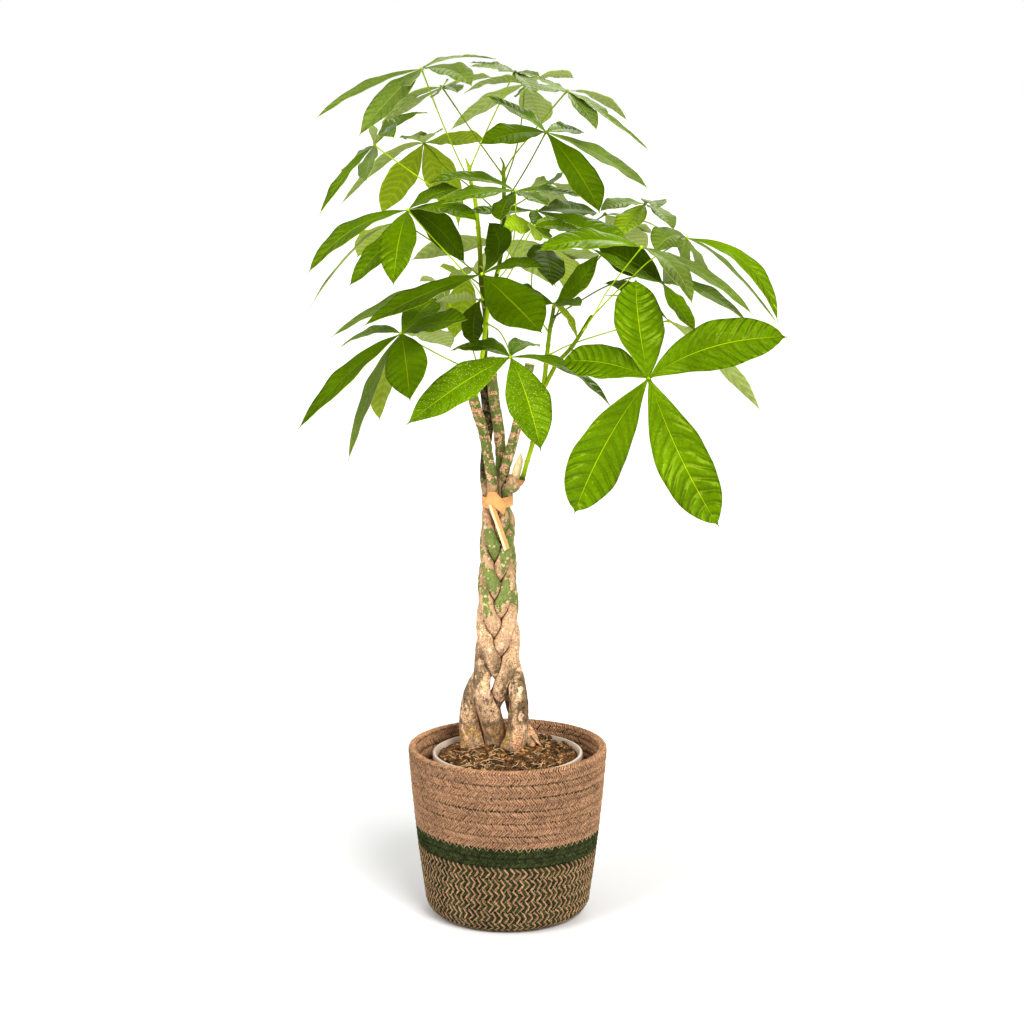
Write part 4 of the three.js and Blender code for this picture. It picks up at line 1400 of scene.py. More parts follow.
@dataclass
class Plait:
    """Five trunks plaited together, each with its foot in the soil and its top sawn or snapped off."""

    finishes: Finishes
    across: float = -10.0
    behind: float = 8.0
    period: float = 195.0
    crossing: float = 330.0
    lag: float = math.radians(30)
    foot: float = 255.0
    top: float = 405.0
    step: float = 12.5
    depth: float = 9.0
    spread: Pair = (15.5, 10.8)
    radii: Pair = (8.5, 6.0)
    flatness: float = 0.86
    sides: int = 36
    press_reach: float = 2.6
    lumps: Triple = (0.05, 0.03, 0.05)
    scar_foot: float = 440.0
    scar_ease: float = 15.0
    scar_pitch: float = 8.5
    scar_drift: float = 1.6
    scar_reach: float = 0.22
    scar_swell: float = 0.09
    noise_rates: Triple = (0.05, 0.22, 0.09)
    ripple_rates: Triple = (0.12, 0.12, 0.5)
    mark_length: float = 0.99
    splinter: tuple[Row, ...] = (
        (515, 479, -2, 4.4), (516.5, 470, -2, 4.8), (519.5, 461, -2, 3.6), (520.8, 453, -2, 0.4))
    rootlets: tuple[tuple[Row, ...], ...] = (
        ((15, 31, 184, 5.4), (21, 29, 176, 6.4), (25, 28, 166, 5.6), (26, 27, 154, 4)),
        ((16, 27, 178, 4.4), (23, 22, 170, 4.6), (26, 19, 158, 3)),
        ((18, 30, 188, 2.6), (25, 28, 179, 2.8), (30, 26, 170, 2), (31, 25, 158, 1.2)),
        ((24, 22, 177, 1.4), (29, 19, 172, 1.3), (33, 19, 168, 0.9), (35, 20, 160, 0.6)),
        ((20, 38, 182, 3), (26, 39, 174, 3.4), (30, 39, 160, 2.4)))

    def place(self, order: int, height: float) -> Row:
        """Finds a trunk's middle in the plait.

        Args:
            order: which trunk.
            height: how high.

        Returns:
            The point and the trunk's radius there.
        """
        share = (height - self.foot) / (self.top - self.foot)
        phase = ((self.crossing - height) / self.period + order / len(TRUNKS)) * math.tau
        spread, radius = (low + (high - low) * share for low, high in (self.spread, self.radii))
        behind = self.behind + self.depth * math.sin(2 * phase - self.lag)
        return self.across + spread * math.sin(phase), behind, height, radius

    def swell(self, plain: Vector) -> float:
        """Gives the bark's lumps and, above the tie, the rings where old leaves fell.

        Args:
            plain: a point on the smooth trunk.

        Returns:
            The factor on the radius there.
        """
        coarse, fine, slow = self.noise_rates
        lumps = noise.fractal(plain * coarse, 1.0, 2.0, 3) * self.lumps[0]
        stretched = Vector([side * rate for side, rate in zip(plain, self.ripple_rates)])
        ripples = noise.noise(stretched) * self.lumps[1]
        knobs = noise.noise(plain * fine) * self.lumps[2]
        order = plain.z / self.scar_pitch + noise.noise(plain * slow) * self.scar_drift
        ring = max(0.0, 1 - abs(order % 1 - 0.5) / self.scar_reach)
        ring *= min(1.0, max(0.0, (plain.z - self.scar_foot) / self.scar_ease))
        return 1 + lumps + ripples + knobs + ring * self.scar_swell

    def tube(self, order: int, trunk: Trunk) -> Mesh:
        """Sweeps one trunk from its foot through the plait to its end.

        Args:
            order: which trunk.
            trunk: its places.

        Returns:
            Its points and faces.
        """
        places = list(trunk.foot)
        height = self.foot
        while height <= self.top:
            places.append(self.place(order, height))
            height += self.step
        places += [*trunk.top, *map(VIEW.row, trunk.end)]
        return swept_tube(smooth_path(places, 8), self.sides, self.swell, self.flatness)

    def pressed(self, point: Sequence[float], others: Sequence[BVHTree]) -> float:
        """Tells how near a place is to the other trunks, from 0 for apart to 1 for touching."""
        gaps = [tree.find_nearest(point, self.press_reach)[3] for tree in others]
        return 1 - min((gap for gap in gaps if gap is not None), default=self.press_reach) / self.press_reach

    def build(self) -> None:
        """Builds the five trunks."""
        tubes = [self.tube(order, trunk) for order, trunk in enumerate(TRUNKS)]
        trees = [BVHTree.FromPolygons(points.tolist(), faces) for points, faces in tubes]
        for order, (trunk, (points, faces)) in enumerate(zip(TRUNKS, tubes)):
            others = trees[:order] + trees[order + 1:]
            rings = len(points) // self.sides
            share = np.repeat(np.arange(rings) / (rings - 1), self.sides)
            # Nearness to the other trunks: the bark turns tan near them and carries painted shade there.
            near = [self.pressed(point, others) for point in points.tolist()]
            marks = np.column_stack([share * self.mark_length + order, near])
            sheaf = Sheaf()
            sheaf.add((points, faces), [0] * (len(faces) - 1) + [1], marks)
            if trunk.node == "trunk_front":
                line = smooth_path([VIEW.row(place) for place in self.splinter], 4)
                sheaf.add(swept_tube(line, 5, None, 0.5), 1)
            if trunk.node == "trunk_right":
                for route in self.rootlets:
                    sheaf.add(swept_tube(smooth_path(route, 5), 12, self.swell), 0, (order, 0.0))
            piece = sheaf.piece(f"{trunk.node}_bark", self.finishes.coats("bark", "cut_wood"))
            dress(piece, "bark", trunk.node)


# Each place: across, down, behind, radius, and how lime the shoot is there: 0 is the dark green of painted
# shade under the leaves, 1 the lit lime, and below 0 the brown of its old base.
SHOOTS = {
    "shoot_left": (
        (475, 409, -8, 2, 0.6), (475.5, 398, -9, 2.4, 0.95), (479, 375, -9, 2.3, 0.95),
        (483, 350, -7, 2.2, 0.9), (487, 315, -5, 2.2, 0.75), (493, 288, -1, 2.1, 0.25),
        (498, 270, 2, 2.1, 0.1), (502, 247, 4, 2, 0.05), (504, 222, 5, 2, 0.05), (504, 198, 5, 1.9, 0.15),
        (503.5, 173, 5, 1.8, 0.3), (503.5, 164, 5, 1, 0.2), (500, 157, 5, 0.5, 0.2),
    ),
    "shoot_middle": (
        (484, 372, 18, 2, 0.1), (485, 354, 19, 2.4, 0.1), (486, 330, 18, 2.4, 0.1),
        (484, 303, 17, 2.4, 0.05), (481, 278, 16, 2.4, 0.05), (480, 252, 15, 2.3, 0.3),
        (478, 226, 14, 2.2, 0.7), (475, 200, 13, 2, 0.8), (471, 182, 12, 1.9, 0.9),
        (469, 168, 12, 1.6, 0.8), (465.5, 158, 12, 0.5, 0.5),
    ),
    "shoot_right": (
        (515, 486, -3, 2.6, -1), (520.5, 482, -5, 3.2, -1), (523.5, 475, -6, 2.4, 0.3),
        (526.5, 464, -7, 2.2, 0.6), (530.5, 451, -8, 2.2, 0.55), (535, 434, -8, 2.2, 0.5),
        (540, 414, -6, 2.3, 0.42), (544, 384, -4, 2.3, 0.4), (547, 355, -2, 2.1, 0.34),
        (550, 330, 0, 2, 0.28), (553.5, 309, 0, 1.8, 0.2), (554, 305, 0, 1.5, 0.2),
    ),
    "shoot_outer": (
        (543.5, 389, -5, 1.8, 0.35), (550, 376, -7, 2.1, 0.3), (558, 362, -9, 2, 0.25),
        (571, 348, -11, 1.9, 0.25), (583, 330, -13, 1.8, 0.25), (590, 318, -14, 1.6, 0.3),
        (592, 315, -14, 0.8, 0.35),
    ),
}


@dataclass
class Shoots:
    """Green shoots with swollen rings where old leaves fell."""

    finishes: Finishes
    sides: int = 14
    ring_spacing: float = 19.0
    ring_swell: float = 0.26
    ring_reach: float = 0.09
    scar_reach: float = 0.045
    uneven: Pair = (0.2, 0.05)

    def ring(self, height: float, reach: float) -> float:
        """Gives how near a height is to a ring, from 0 at its reach to 1."""
        return max(0.0, 1 - abs((height / self.ring_spacing) % 1 - 0.5) / reach)

    def swell(self, plain: Vector) -> float:
        """Gives the shoot's rings and slight unevenness."""
        ring = self.ring(plain.z, self.ring_reach)
        return 1 + self.ring_swell * ring + noise.noise(plain * self.uneven[0]) * self.uneven[1]

    def build(self) -> None:
        """Builds each shoot."""
        for name, route in SHOOTS.items():
            line = smooth_path([VIEW.row(place) for place in route], 16)
            points, faces = swept_tube(line, self.sides, self.swell)
            # Share of lit lime over painted shade, and the brown of the old base below 0.
            lit_lime, old = (np.repeat(np.clip(side * line[:, 4], 0, 1), self.sides) for side in (1, -1))
            scar = np.maximum([self.ring(height, self.scar_reach) for height in points[:, 2]], old)
            sheaf = Sheaf()
            sheaf.add((points, faces), 0, np.column_stack([lit_lime, scar]))
            dress(sheaf.piece(f"{name}_fine", self.finishes.coats("green_stem")), "shoot", name)


def on_shoot(name: str, down: float) -> Vector:
    """Finds the middle of a shoot where it shows that far down the picture.

    Args:
        name: the shoot.
        down: place down the picture.

    Returns:
        The point in millimetres.
    """
    route = SHOOTS[name]
    above = next(place for place, row in enumerate(route) if row[1] <= down)
    low, high = route[max(above - 1, 0)], route[above]
    share = (low[1] - down) / (low[1] - high[1])
    return VIEW.seen(*(low[axis] + (high[axis] - low[axis]) * share for axis in range(3)))


# Leaves


@dataclass(frozen=True)
class Leaf:
    """One compound leaf, written as it is seen.

    Each leaflet's midrib runs through a middle place to its tip, then come how far the tip lies behind, the
    blade's width, and how much of its upper face shows, from 1 for all of it to -1 for the underside.
    """

    number: int
    knuckle: Triple
    stalk: tuple[Triple, ...]
    joins: tuple[str, float]
    leaflets: tuple[tuple[float, ...], ...]
    shade: Shade = Shade.FULL
    odd: tuple[tuple[int, Shade], ...] = ()
    shapes: tuple[Pair, ...] = ()
    # How lime the stalk is, from the dark green of painted shade at 0 to the lit lime at 1.
    stem: float = 0.6

    def tone(self, order: int) -> Shade:
        """Gives the shade of one leaflet."""
        return dict(self.odd).get(order, self.shade)


LEAVES = (
    Leaf(1, (421.5, 69, -40), ((440, 117, -22), (459, 160, -4)), ("shoot_middle", 186), (
        (367, 86, 315, 119, -40, 18, 0.4),
        (393, 95, 358.5, 136, -100, 28, 0.75),
        (450, 70, 472, 86, -105, 30, 0.5),
        (455, 57.5, 496, 59, 20, 20, 0.08),
        (416, 76, 409.5, 86, -100, 26, 0.3),
    ), Shade.HAZY, stem=0.65),
    Leaf(2, (442, 87, 50), ((463, 118, 34), (482, 146, 18)), ("shoot_left", 176), (
        (408, 100, 379, 134, 60, 20, -0.45),
        (405, 109, 381, 127, 110, 20, -0.4),
        (441, 89, 438, 93.5, -30, 24, 0.2),
        (451, 87, 457.5, 92.5, -10, 22, 0.4),
        (465, 80, 492, 77, 90, 22, -0.25),
    ), Shade.HAZY, stem=0.3),
    Leaf(3, (374.5, 145.5, -30), ((400, 164, -26), (434, 188, -12), (461, 208, 2)), ("shoot_middle", 221), (
        (347, 173, 319, 215, -60, 20, 0.4),
        (356, 158, 342, 172, 50, 22, 0.1),
        (369, 162, 366, 181, -110, 24, 0.6),
        (373, 137, 378, 129, 60, 22, -0.4),
        (400, 120, 429, 113, 50, 26, 0.35),
        (386, 131, 394, 138, -100, 20, 0.25),
    ), Shade.FULL, ((1, Shade.HAZY), (2, Shade.HAZY), (3, Shade.HAZY)), stem=0.75),
    Leaf(4, (424, 143, 100), ((443, 165, 84), (470, 187, 50), (492, 207, 20)), ("shoot_left", 219), (
        (388, 158, 340, 205, 95, 20, -0.45),
        (402, 178, 381, 214, 150, 34, -0.85),
        (437, 178, 450, 212, 160, 32, -0.85),
        (447, 172, 459, 228, 130, 28, -0.6),
        (455, 139, 486, 141, 150, 28, -0.5),
        (431, 135, 438, 132, 40, 24, -0.3),
        (414, 136, 405, 139.5, 40, 26, -0.35),
    ), Shade.FRESH, ((0, Shade.HAZY), (5, Shade.HAZY), (6, Shade.HAZY)), stem=0.3),
    Leaf(5, (408, 210, -40), ((430, 235, -32), (455, 262, -18), (476, 287, -2)), ("shoot_middle", 301), (
        (352, 230, 308, 273, -70, 30, 0.5),
        (399, 240, 393, 286, -100, 36, 0.92),
        (438, 228, 465, 263, -4, 33, 0.85),
        (445, 208, 478, 221, -90, 26, 0.5),
        (432, 195, 460, 189, -46, 28, 0.45),
    ), Shade.FULL, ((2, Shade.DEEP),), stem=0.95),
    Leaf(6, (402, 222, 10), ((430, 240, 12), (456, 257, 14)), ("shoot_middle", 277), (
        (378, 252, 349, 286, -20, 28, 0.7),
        (358, 246, 309, 308, 20, 20, 0.08),
        (378, 236, 357, 257, 90, 34, -0.65),
    ), Shade.FULL, ((1, Shade.HAZY),), stem=0.4),
    Leaf(7, (482, 274, -70), ((484, 270, -40),), ("shoot_middle", 266), (
        (425, 294, 363, 326, -110, 34, 0.5),
        (400, 300, 331, 337, -45, 30, 0.35),
        (513, 303, 542, 333, -140, 52, 0.88),
        (499, 247, 488, 222, -10, 30, 0.8),
        (515, 264, 541, 268, -90, 24, 0.4),
    ), Shade.DEEP, ((1, Shade.HAZY),), stem=0.8),
    Leaf(8, (401, 333.4, -60), ((430, 350, -40),), ("trunk_middle", 368), (
        (350, 372, 298, 429, -70, 27, 0.6),
        (371, 390, 348, 461, -40, 22, 0.5),
        (384, 380, 379.5, 420, 40, 26, -0.75),
        (406, 362, 410, 401, -130, 43, 0.95),
        (372, 331.5, 339, 348, 10, 18, 0.4),
        (435, 323, 468, 319.5, -110, 34, 0.5),
        (420, 312, 436, 298, 0, 34, 0.75),
        (432, 336, 451, 348, 30, 30, -0.5),
    ), Shade.DEEP, ((1, Shade.HAZY), (4, Shade.FULL), (6, Shade.FRESH), (7, Shade.HAZY)), stem=0.7),
    Leaf(9, (510.5, 357, -90), ((507, 345, -64), (499, 331, -34)), ("shoot_left", 323), (
        (463, 383, 406, 425, -110, 40, 0.85),
        (527, 398, 541, 451, -130, 44, 0.92),
        (566, 368, 612, 408, -80, 30, 0.3),
        (481, 346, 450, 351, -20, 30, 0.42),
        (522, 344, 541, 347, -20, 24, 0.5),
    ), Shade.FULL, ((0, Shade.SPOTTED), (1, Shade.SPOTTED)), stem=0.75),
    Leaf(10, (648.7, 378.2, -150), ((627, 363, -110), (598, 352, -56)), ("shoot_outer", 350), (
        (639, 325, 636, 279, -95, 49, 0.93),
        (712, 347, 787.5, 337, -150, 49, 0.92),
        (681, 458, 719, 526.5, -165, 52, 0.96),
        (605, 445, 574.5, 513.5, -165, 52, 0.94),
        (605, 363, 561, 362, -110, 40, 0.82),
    ), Shade.QUILTED, (),
       ((0.56, 0.78), (0.6, 0.74), (0.58, 0.78), (0.64, 0.66), (0.6, 0.74)), stem=0.45),
    Leaf(11, (546, 132, -60), ((531, 160, -36), (518, 182, -14)), ("shoot_left", 204), (
        (513, 134, 480, 144, -110, 30, 0.65),
        (520, 113, 484, 95, -20, 26, 0.35),
        (565, 129, 585, 133, 0, 22, 0.45),
        (601, 156, 649, 189, -60, 28, 0.4),
        (578, 172, 600, 213, -110, 36, 0.78),
    ), Shade.FULL, ((0, Shade.DEEP), (3, Shade.HAZY), (4, Shade.DEEP)), stem=0.2),
    Leaf(12, (515.5, 190.8, -50), ((515.5, 215, -40), (513.5, 240, -22), (506, 260, -8)),
         ("shoot_left", 274), (
        (480, 193, 441, 204, -100, 28, 0.42),
        (470, 177, 426, 185, -40, 28, 0.32),
        (550, 191, 585, 197, -40, 26, 0.28),
        (532, 197, 548, 206, -120, 26, 0.4),
        (505, 205, 501, 221, -75, 28, 0.6),
    ), stem=1.0),
    Leaf(13, (537, 210.7, -20), ((530, 224, -20), (517, 247, -14), (508, 267, -8)), ("shoot_left", 283), (
        (500, 211, 463, 212, -20, 26, 0.3),
        (570, 209, 598, 213, 30, 34, 0.42),
        (588, 230, 632, 246, -50, 42, 0.55),
        (538, 222, 541, 238, -50, 28, 0.6),
    ), Shade.FULL, ((1, Shade.DEEP),), stem=0.85),
    Leaf(14, (534, 226, -75), ((526, 240, -54), (516, 262, -32), (505, 281, -14)), ("shoot_left", 292), (
        (519, 225, 503.5, 226, -100, 22, 0.78),
        (556, 226, 579, 229, -64, 20, 0.5),
        (534, 232, 535, 240, -105, 20, 0.6),
        (542, 233, 553, 236, -60, 16, 0.5),
        (547, 221, 558, 219, -45, 14, 0.5),
    ), Shade.LIME, ((1, Shade.FRESH),), stem=0.85),
    Leaf(15, (641.5, 247.2, -80), ((625, 268, -64), (606, 293, -38), (594, 315, -26)), ("shoot_outer", 331),
         (
        (590, 240, 537, 251, -110, 36, 0.5),
        (672, 266, 692.5, 304, -140, 26, 0.62),
        (703, 274, 753, 315, -70, 22, 0.45),
    ), Shade.HAZY, ((0, Shade.FRESH),), stem=0.85),
    Leaf(16, (687, 238, -20), ((652, 259, -30), (630, 279, -26), (611, 297, -20)), ("shoot_outer", 321), (
        (747, 264, 778, 322, -50, 21, 0.65),
        (728, 266, 780, 327, 10, 16, 0.2),
        (670, 237, 655, 252, -46, 36, 0.7),
        (683, 248, 681, 260, -42, 28, 0.6),
        (697, 258, 709, 283, 40, 24, -0.35),
    ), Shade.HAZY, ((0, Shade.FRESH),), stem=0.65),
    Leaf(17, (567, 91, -10), ((550, 111, -6), (525, 142, 0), (513, 157, 4)), ("shoot_left", 172), (
        (582, 107, 597, 130, -90, 22, 0.6),
        (610, 119, 650, 151, -20, 14, 0.28),
        (597, 97, 628, 121, 50, 18, -0.4),
        (590, 103, 611, 120, -70, 18, 0.3),
        (548, 83, 527, 74, 30, 20, 0.18),
        (550, 89, 531, 90, -60, 24, 0.28),
    ), Shade.HAZY, stem=0.45),
    Leaf(18, (525, 84, 60), ((521, 125, 36), (514, 157, 18)), ("shoot_left", 186), (
        (490, 102, 450, 130, 60, 26, -0.5),
        (497, 81, 464, 93, 30, 24, -0.28),
        (535, 106, 540, 126, 150, 34, -0.9),
        (552, 75, 574, 78, 110, 18, -0.35),
        (524, 90, 518, 95, 0, 20, 0.3),
    ), Shade.HAZY, stem=0.3),
    Leaf(19, (514.5, 72, -20), ((505, 92, -14), (487, 130, -2)), ("shoot_middle", 170), (
        (492, 65, 470, 62.5, 30, 20, 0.18),
        (493, 68, 470, 66, -30, 20, 0.15),
        (508, 70, 499, 71.5, -110, 16, 0.25),
        (525, 80, 535, 95, -110, 22, 0.6),
        (526, 73, 540, 77, -60, 15, 0.28),
    ), Shade.HAZY, stem=0.8),
    Leaf(20, (480, 300, -12), (), ("shoot_middle", 308), (
        (473.5, 322, 476, 346, -16, 29, 0.75),
        (456, 299, 435, 301, -50, 26, -0.35),
    ), Shade.DEEP, ((1, Shade.HAZY),), stem=0.3),
    Leaf(21, (440, 284, 30), ((446, 297, 26), (456, 316, 18), (470, 342, 4)), ("shoot_left", 372), (
        (430, 279, 419.5, 281.5, 90, 10, -0.45),
        (459, 276, 474, 267, 24, 24, -0.35),
        (441, 302, 448, 318, 90, 34, -0.7),
    ), Shade.HAZY, stem=0.75),
    Leaf(22, (463, 272, 48), (), ("shoot_middle", 286), (
        (462, 302, 452, 341, 62, 38, -0.75),
        (452, 270, 440, 266, 110, 14, -0.5),
    ), Shade.FRESH, stem=0.4),
    Leaf(23, (663, 283, 5), ((640, 276, 6), (607, 286, 4), (580, 301, 0)), ("shoot_right", 318), (
        (630, 270, 591, 248, -5, 22, 0.4),
        (677, 305, 696, 332, -20, 26, 0.6),
        (632, 262, 596, 245, 30, 38, 0.8),
        (703, 291, 748, 322, 10, 24, 0.45),
        (667, 270, 674, 255, 60, 30, 0.6),
    ), Shade.FRESH, ((2, Shade.DEEP), (3, Shade.HAZY), (4, Shade.HAZY)), stem=0.1),
    Leaf(24, (669, 321, 30), ((645, 324, 26), (616, 330, 18), (572, 344, 6)), ("shoot_right", 356), (
        (718, 360, 761, 411, 30, 23, -0.65),
        (635, 293, 604, 283, 30, 24, 0.45),
        (640, 302, 604, 295, 60, 18, 0.1),
        (683, 329, 698, 346, 75, 26, -0.3),
    ), Shade.HAZY, stem=0.65),
    Leaf(25, (554, 304, -6), (), ("shoot_right", 308), (
        (578, 283, 599, 254, -20, 26, 0.75),
        (568, 303, 581, 305.5, -60, 22, 0.4),
        (568, 318, 577.5, 340, -24, 18, -0.35),
        (530, 296, 505, 288, -20, 32, 0.5),
    ), Shade.FRESH, ((1, Shade.HAZY), (3, Shade.FULL)), stem=0.5),
    Leaf(26, (545, 243, 10), ((534, 262, 14), (532, 292, 12), (541, 320, 6)), ("shoot_right", 333), (
        (548, 262, 552.5, 286, -60, 34, 0.85),
        (575, 256, 600, 256, 60, 30, -0.42),
        (565, 266, 563, 288, 100, 36, -0.75),
        (539, 252, 534, 266, 0, 26, 0.7),
    ), Shade.FULL, ((0, Shade.DEEP), (1, Shade.HAZY)), stem=0.75),
    Leaf(27, (500, 243, 60), (), ("shoot_left", 256), (
        (455, 245, 411.5, 260, 90, 24, -0.8),
        (530, 255, 556, 287, 120, 40, -0.8),
        (487, 260, 484, 276, 130, 28, -0.6),
        (508, 226, 510, 214, 110, 26, -0.6),
    ), Shade.HAZY, stem=0.4),
    Leaf(28, (605, 214, 40), ((598, 219, 40), (570, 234, 44), (545, 249, 40), (524, 261, 22)),
         ("shoot_left", 268), (
        (632, 218, 660, 228, 60, 16, 0.15),
        (625, 232, 648, 249, 110, 34, -0.65),
        (632, 226, 651, 233, 90, 24, -0.35),
    ), Shade.HAZY, stem=0.25),
    Leaf(29, (645, 204, 30), ((624, 226, 40), (596, 262, 30), (566, 298, 18)), ("shoot_right", 328), (
        (622, 203, 600, 211, 0, 26, 0.4),
        (632, 218, 618, 237, -30, 28, 0.8),
        (661, 213, 674, 230, -20, 24, 0.45),
        (653, 201, 658, 209, -60, 24, 0.3),
    ), Shade.HAZY, ((1, Shade.LIME),), stem=0.25),
    Leaf(30, (547, 182, 70), ((530, 196, 50),), ("shoot_left", 212), (
        (538, 186, 528, 190, 45, 26, -0.5),
        (572, 190, 594, 199, 90, 20, -0.4),
        (552, 196, 555, 210, 130, 36, -0.75),
        (555, 180, 561, 177, 20, 20, 0.4),
    ), Shade.HAZY, stem=0.4),
)


@dataclass
class Foliage:
    """All the compound leaves."""

    finishes: Finishes
    stations: int = 38
    strips: int = 12
    crowding: float = 1.2
    thickness: float = 0.5
    fold: float = math.tan(math.radians(12))
    sag: float = 0.006
    bend: float = 0.55
    shape: Pair = (0.57, 1.0)
    tip_from: float = 0.975
    tip_width: float = 0.1
    tip_reach: Pair = (0.2, 0.8)
    tip_powers: tuple[float, int] = (0.8, 4)
    least: Pair = (0.05, 0.008)
    wave: float = 0.034
    waves: Pair = (15.0, 27.0)
    short_wave: float = 0.6
    stalk_radius: float = 0.68
    stalk_sides: int = 8
    stalk_ends: tuple[Pair, Pair] = ((0.9, 5.0), (0.5, 4.0))
    knuckle: float = 1.8
    knuckle_end: float = 0.15
    crown_spread: float = 0.004
    phase_step: float = 1.7
    trunk_joint: Pair = (465.5, -10.0)

    def outline(self, share: np.ndarray, shape: Pair) -> np.ndarray:
        """Gives the half-width along the midrib as a share of the widest place, with a drawn-out tip.

        Args:
            share: places along the midrib.
            shape: where the blade is widest, and how bluntly it ends.

        Returns:
            The half-width at each place.
        """
        widest, taper = shape
        rise = taper * widest / (1 - widest)
        inner = np.minimum(share / self.tip_from, 1)
        plain = inner ** rise * (1 - inner) ** taper / (widest ** rise * (1 - widest) ** taper)
        (near, far), (sharp, late) = self.tip_reach, self.tip_powers
        tip = self.tip_width * np.clip((1 - share) / near, 0, 1) ** sharp
        tip *= np.clip(share / far, 0, 1) ** late
        return np.maximum(np.hypot(plain, tip), np.where(share < 0.5, *self.least))

    def sheet(self) -> tuple[np.ndarray, np.ndarray, list[Face]]:
        """Models the flat sheet that every leaflet is shaped from.

        Returns:
            Each point's place across, from -1 to 1, its place along, from 0 to 1, and the faces.
        """
        clear_selection()
        bpy.ops.mesh.primitive_grid_add(x_subdivisions=self.strips, y_subdivisions=self.stations, size=2,
                                        location=(0, 0, 0))
        flat, faces = take_pattern()
        return flat[:, 0], 1 - (0.5 - flat[:, 1] / 2) ** self.crowding, faces

    def blade(self, sheaf: Sheaf, leaf: Leaf, order: int, finish: int) -> None:
        """Shapes one leaflet: its droop, its fold along the midrib, its outline and its wavy margin.

        Args:
            sheaf: the leaf it joins.
            leaf: the leaf's row in the table.
            order: its place among the leaf's leaflets.
            finish: number of its upper face's finish; its underside has the next.
        """
        knuckle = leaf.knuckle
        mid_across, mid_down, tip_across, tip_down, tip_behind, width, shown = leaf.leaflets[order]
        base = VIEW.seen(*knuckle)
        tip = VIEW.seen(tip_across, tip_down, tip_behind)
        middle = VIEW.seen(mid_across, mid_down, knuckle[2] + (tip_behind - knuckle[2]) * self.bend)
        along = (tip - base).normalized()
        facing = (VIEW.eye - middle).normalized()
        facing = (facing - along * facing.dot(along)).normalized()
        beside = along.cross(facing)
        upward = Vector((base.x * self.crown_spread, base.y * self.crown_spread, 1))
        lean = math.sqrt(1 - shown * shown) * (-1 if beside.dot(upward) < 0 else 1)
        face = np.array(facing * shown + beside * lean)

        out, share, faces = self.flat
        a, b, c = (np.array(point) for point in (base, middle * 2 - base * 0.5 - tip * 0.5, tip))
        s = share[:, None]
        spine = (1 - s) ** 2 * a + 2 * s * (1 - s) * b + s ** 2 * c
        tangent = 2 * (1 - s) * (b - a) + 2 * s * (c - b)
        tangent /= np.linalg.norm(tangent, axis=1)[:, None]
        normal = face - tangent * (tangent @ face)[:, None]
        normal /= np.linalg.norm(normal, axis=1)[:, None]
        side = np.cross(tangent, normal)
        half = width / 2 * self.outline(share, leaf.shapes[order] if leaf.shapes else self.shape)
        reach = half * out
        phase = order * self.phase_step + knuckle[0]
        long, short = np.sin(share * self.waves[0] + phase), np.sin(share * self.waves[1] + phase * 2)
        wave = out ** 2 * (long * np.sign(out) + self.short_wave * short)
        flat = np.clip(half / (width / 2), 0, 1)
        lift = np.abs(reach) * self.fold - self.sag * reach ** 2 + wave * self.wave * width * flat
        points = spine + side * reach[:, None] + normal * lift[:, None]
        sheaf.add((points, faces), finish, np.column_stack([out / 2 + 0.5, share]))

    def stalk(self, sheaf: Sheaf, leaf: Leaf, finish: int) -> None:
        """Builds the stalk and its knuckle.

        Args:
            sheaf: the leaf they join.
            leaf: the leaf's row in the table.
            finish: number of their finish.
        """
        stem, down = leaf.joins
        across, behind = self.trunk_joint
        root = VIEW.seen(across, down, behind) if stem == "trunk_middle" else on_shoot(stem, down)
        knuckle = VIEW.seen(*leaf.knuckle)
        places = [root, *(VIEW.seen(*place) for place in reversed(leaf.stalk)), knuckle]
        line = smooth_path([(*place, self.stalk_radius) for place in places], 10)
        reach = np.concatenate([[0], np.cumsum(np.linalg.norm(np.diff(line[:, :3], axis=0), axis=1))])
        (foot, near), (head, far) = self.stalk_ends
        line[:, 3] += foot * np.exp(-(reach / near) ** 2) + head * np.exp(-((reach[-1] - reach) / far) ** 2)
        axis = np.array((knuckle - places[-2]).normalized())
        size = self.knuckle
        ball = [(*(np.array(knuckle) - axis * (math.cos(turn) * size)),
                 max(size * math.sin(turn), self.knuckle_end)) for turn in np.linspace(0, math.pi, 7)]
        for route in (line, np.array(ball)):
            sheaf.add(swept_tube(route, self.stalk_sides), finish, (leaf.stem, 0.0))

    def build(self) -> None:
        """Builds every leaf in place of its plain solid."""
        self.flat = self.sheet()
        for leaf in LEAVES:
            name = f"leaf_{leaf.number:02d}"
            blades, stalk = Sheaf(), Sheaf()
            tones = [leaf.tone(order) for order in range(len(leaf.leaflets))]
            used = sorted(set(tones), key=lambda tone: tone.value)
            for order, tone in enumerate(tones):
                self.blade(blades, leaf, order, used.index(tone) * 2)
            self.stalk(stalk, leaf, len(used) * 2)
            coats = [*(coat for tone in used for coat in self.finishes.leaf[tone]),
                     *self.finishes.coats("green_stem")]
            piece = blades.piece(f"{name}_fine", coats)
            thicken(piece, self.thickness, 1)
            join(piece, stalk.piece(f"{name}_stalk", coats))
            dress(piece, "leaf", name)


# Raffia tie


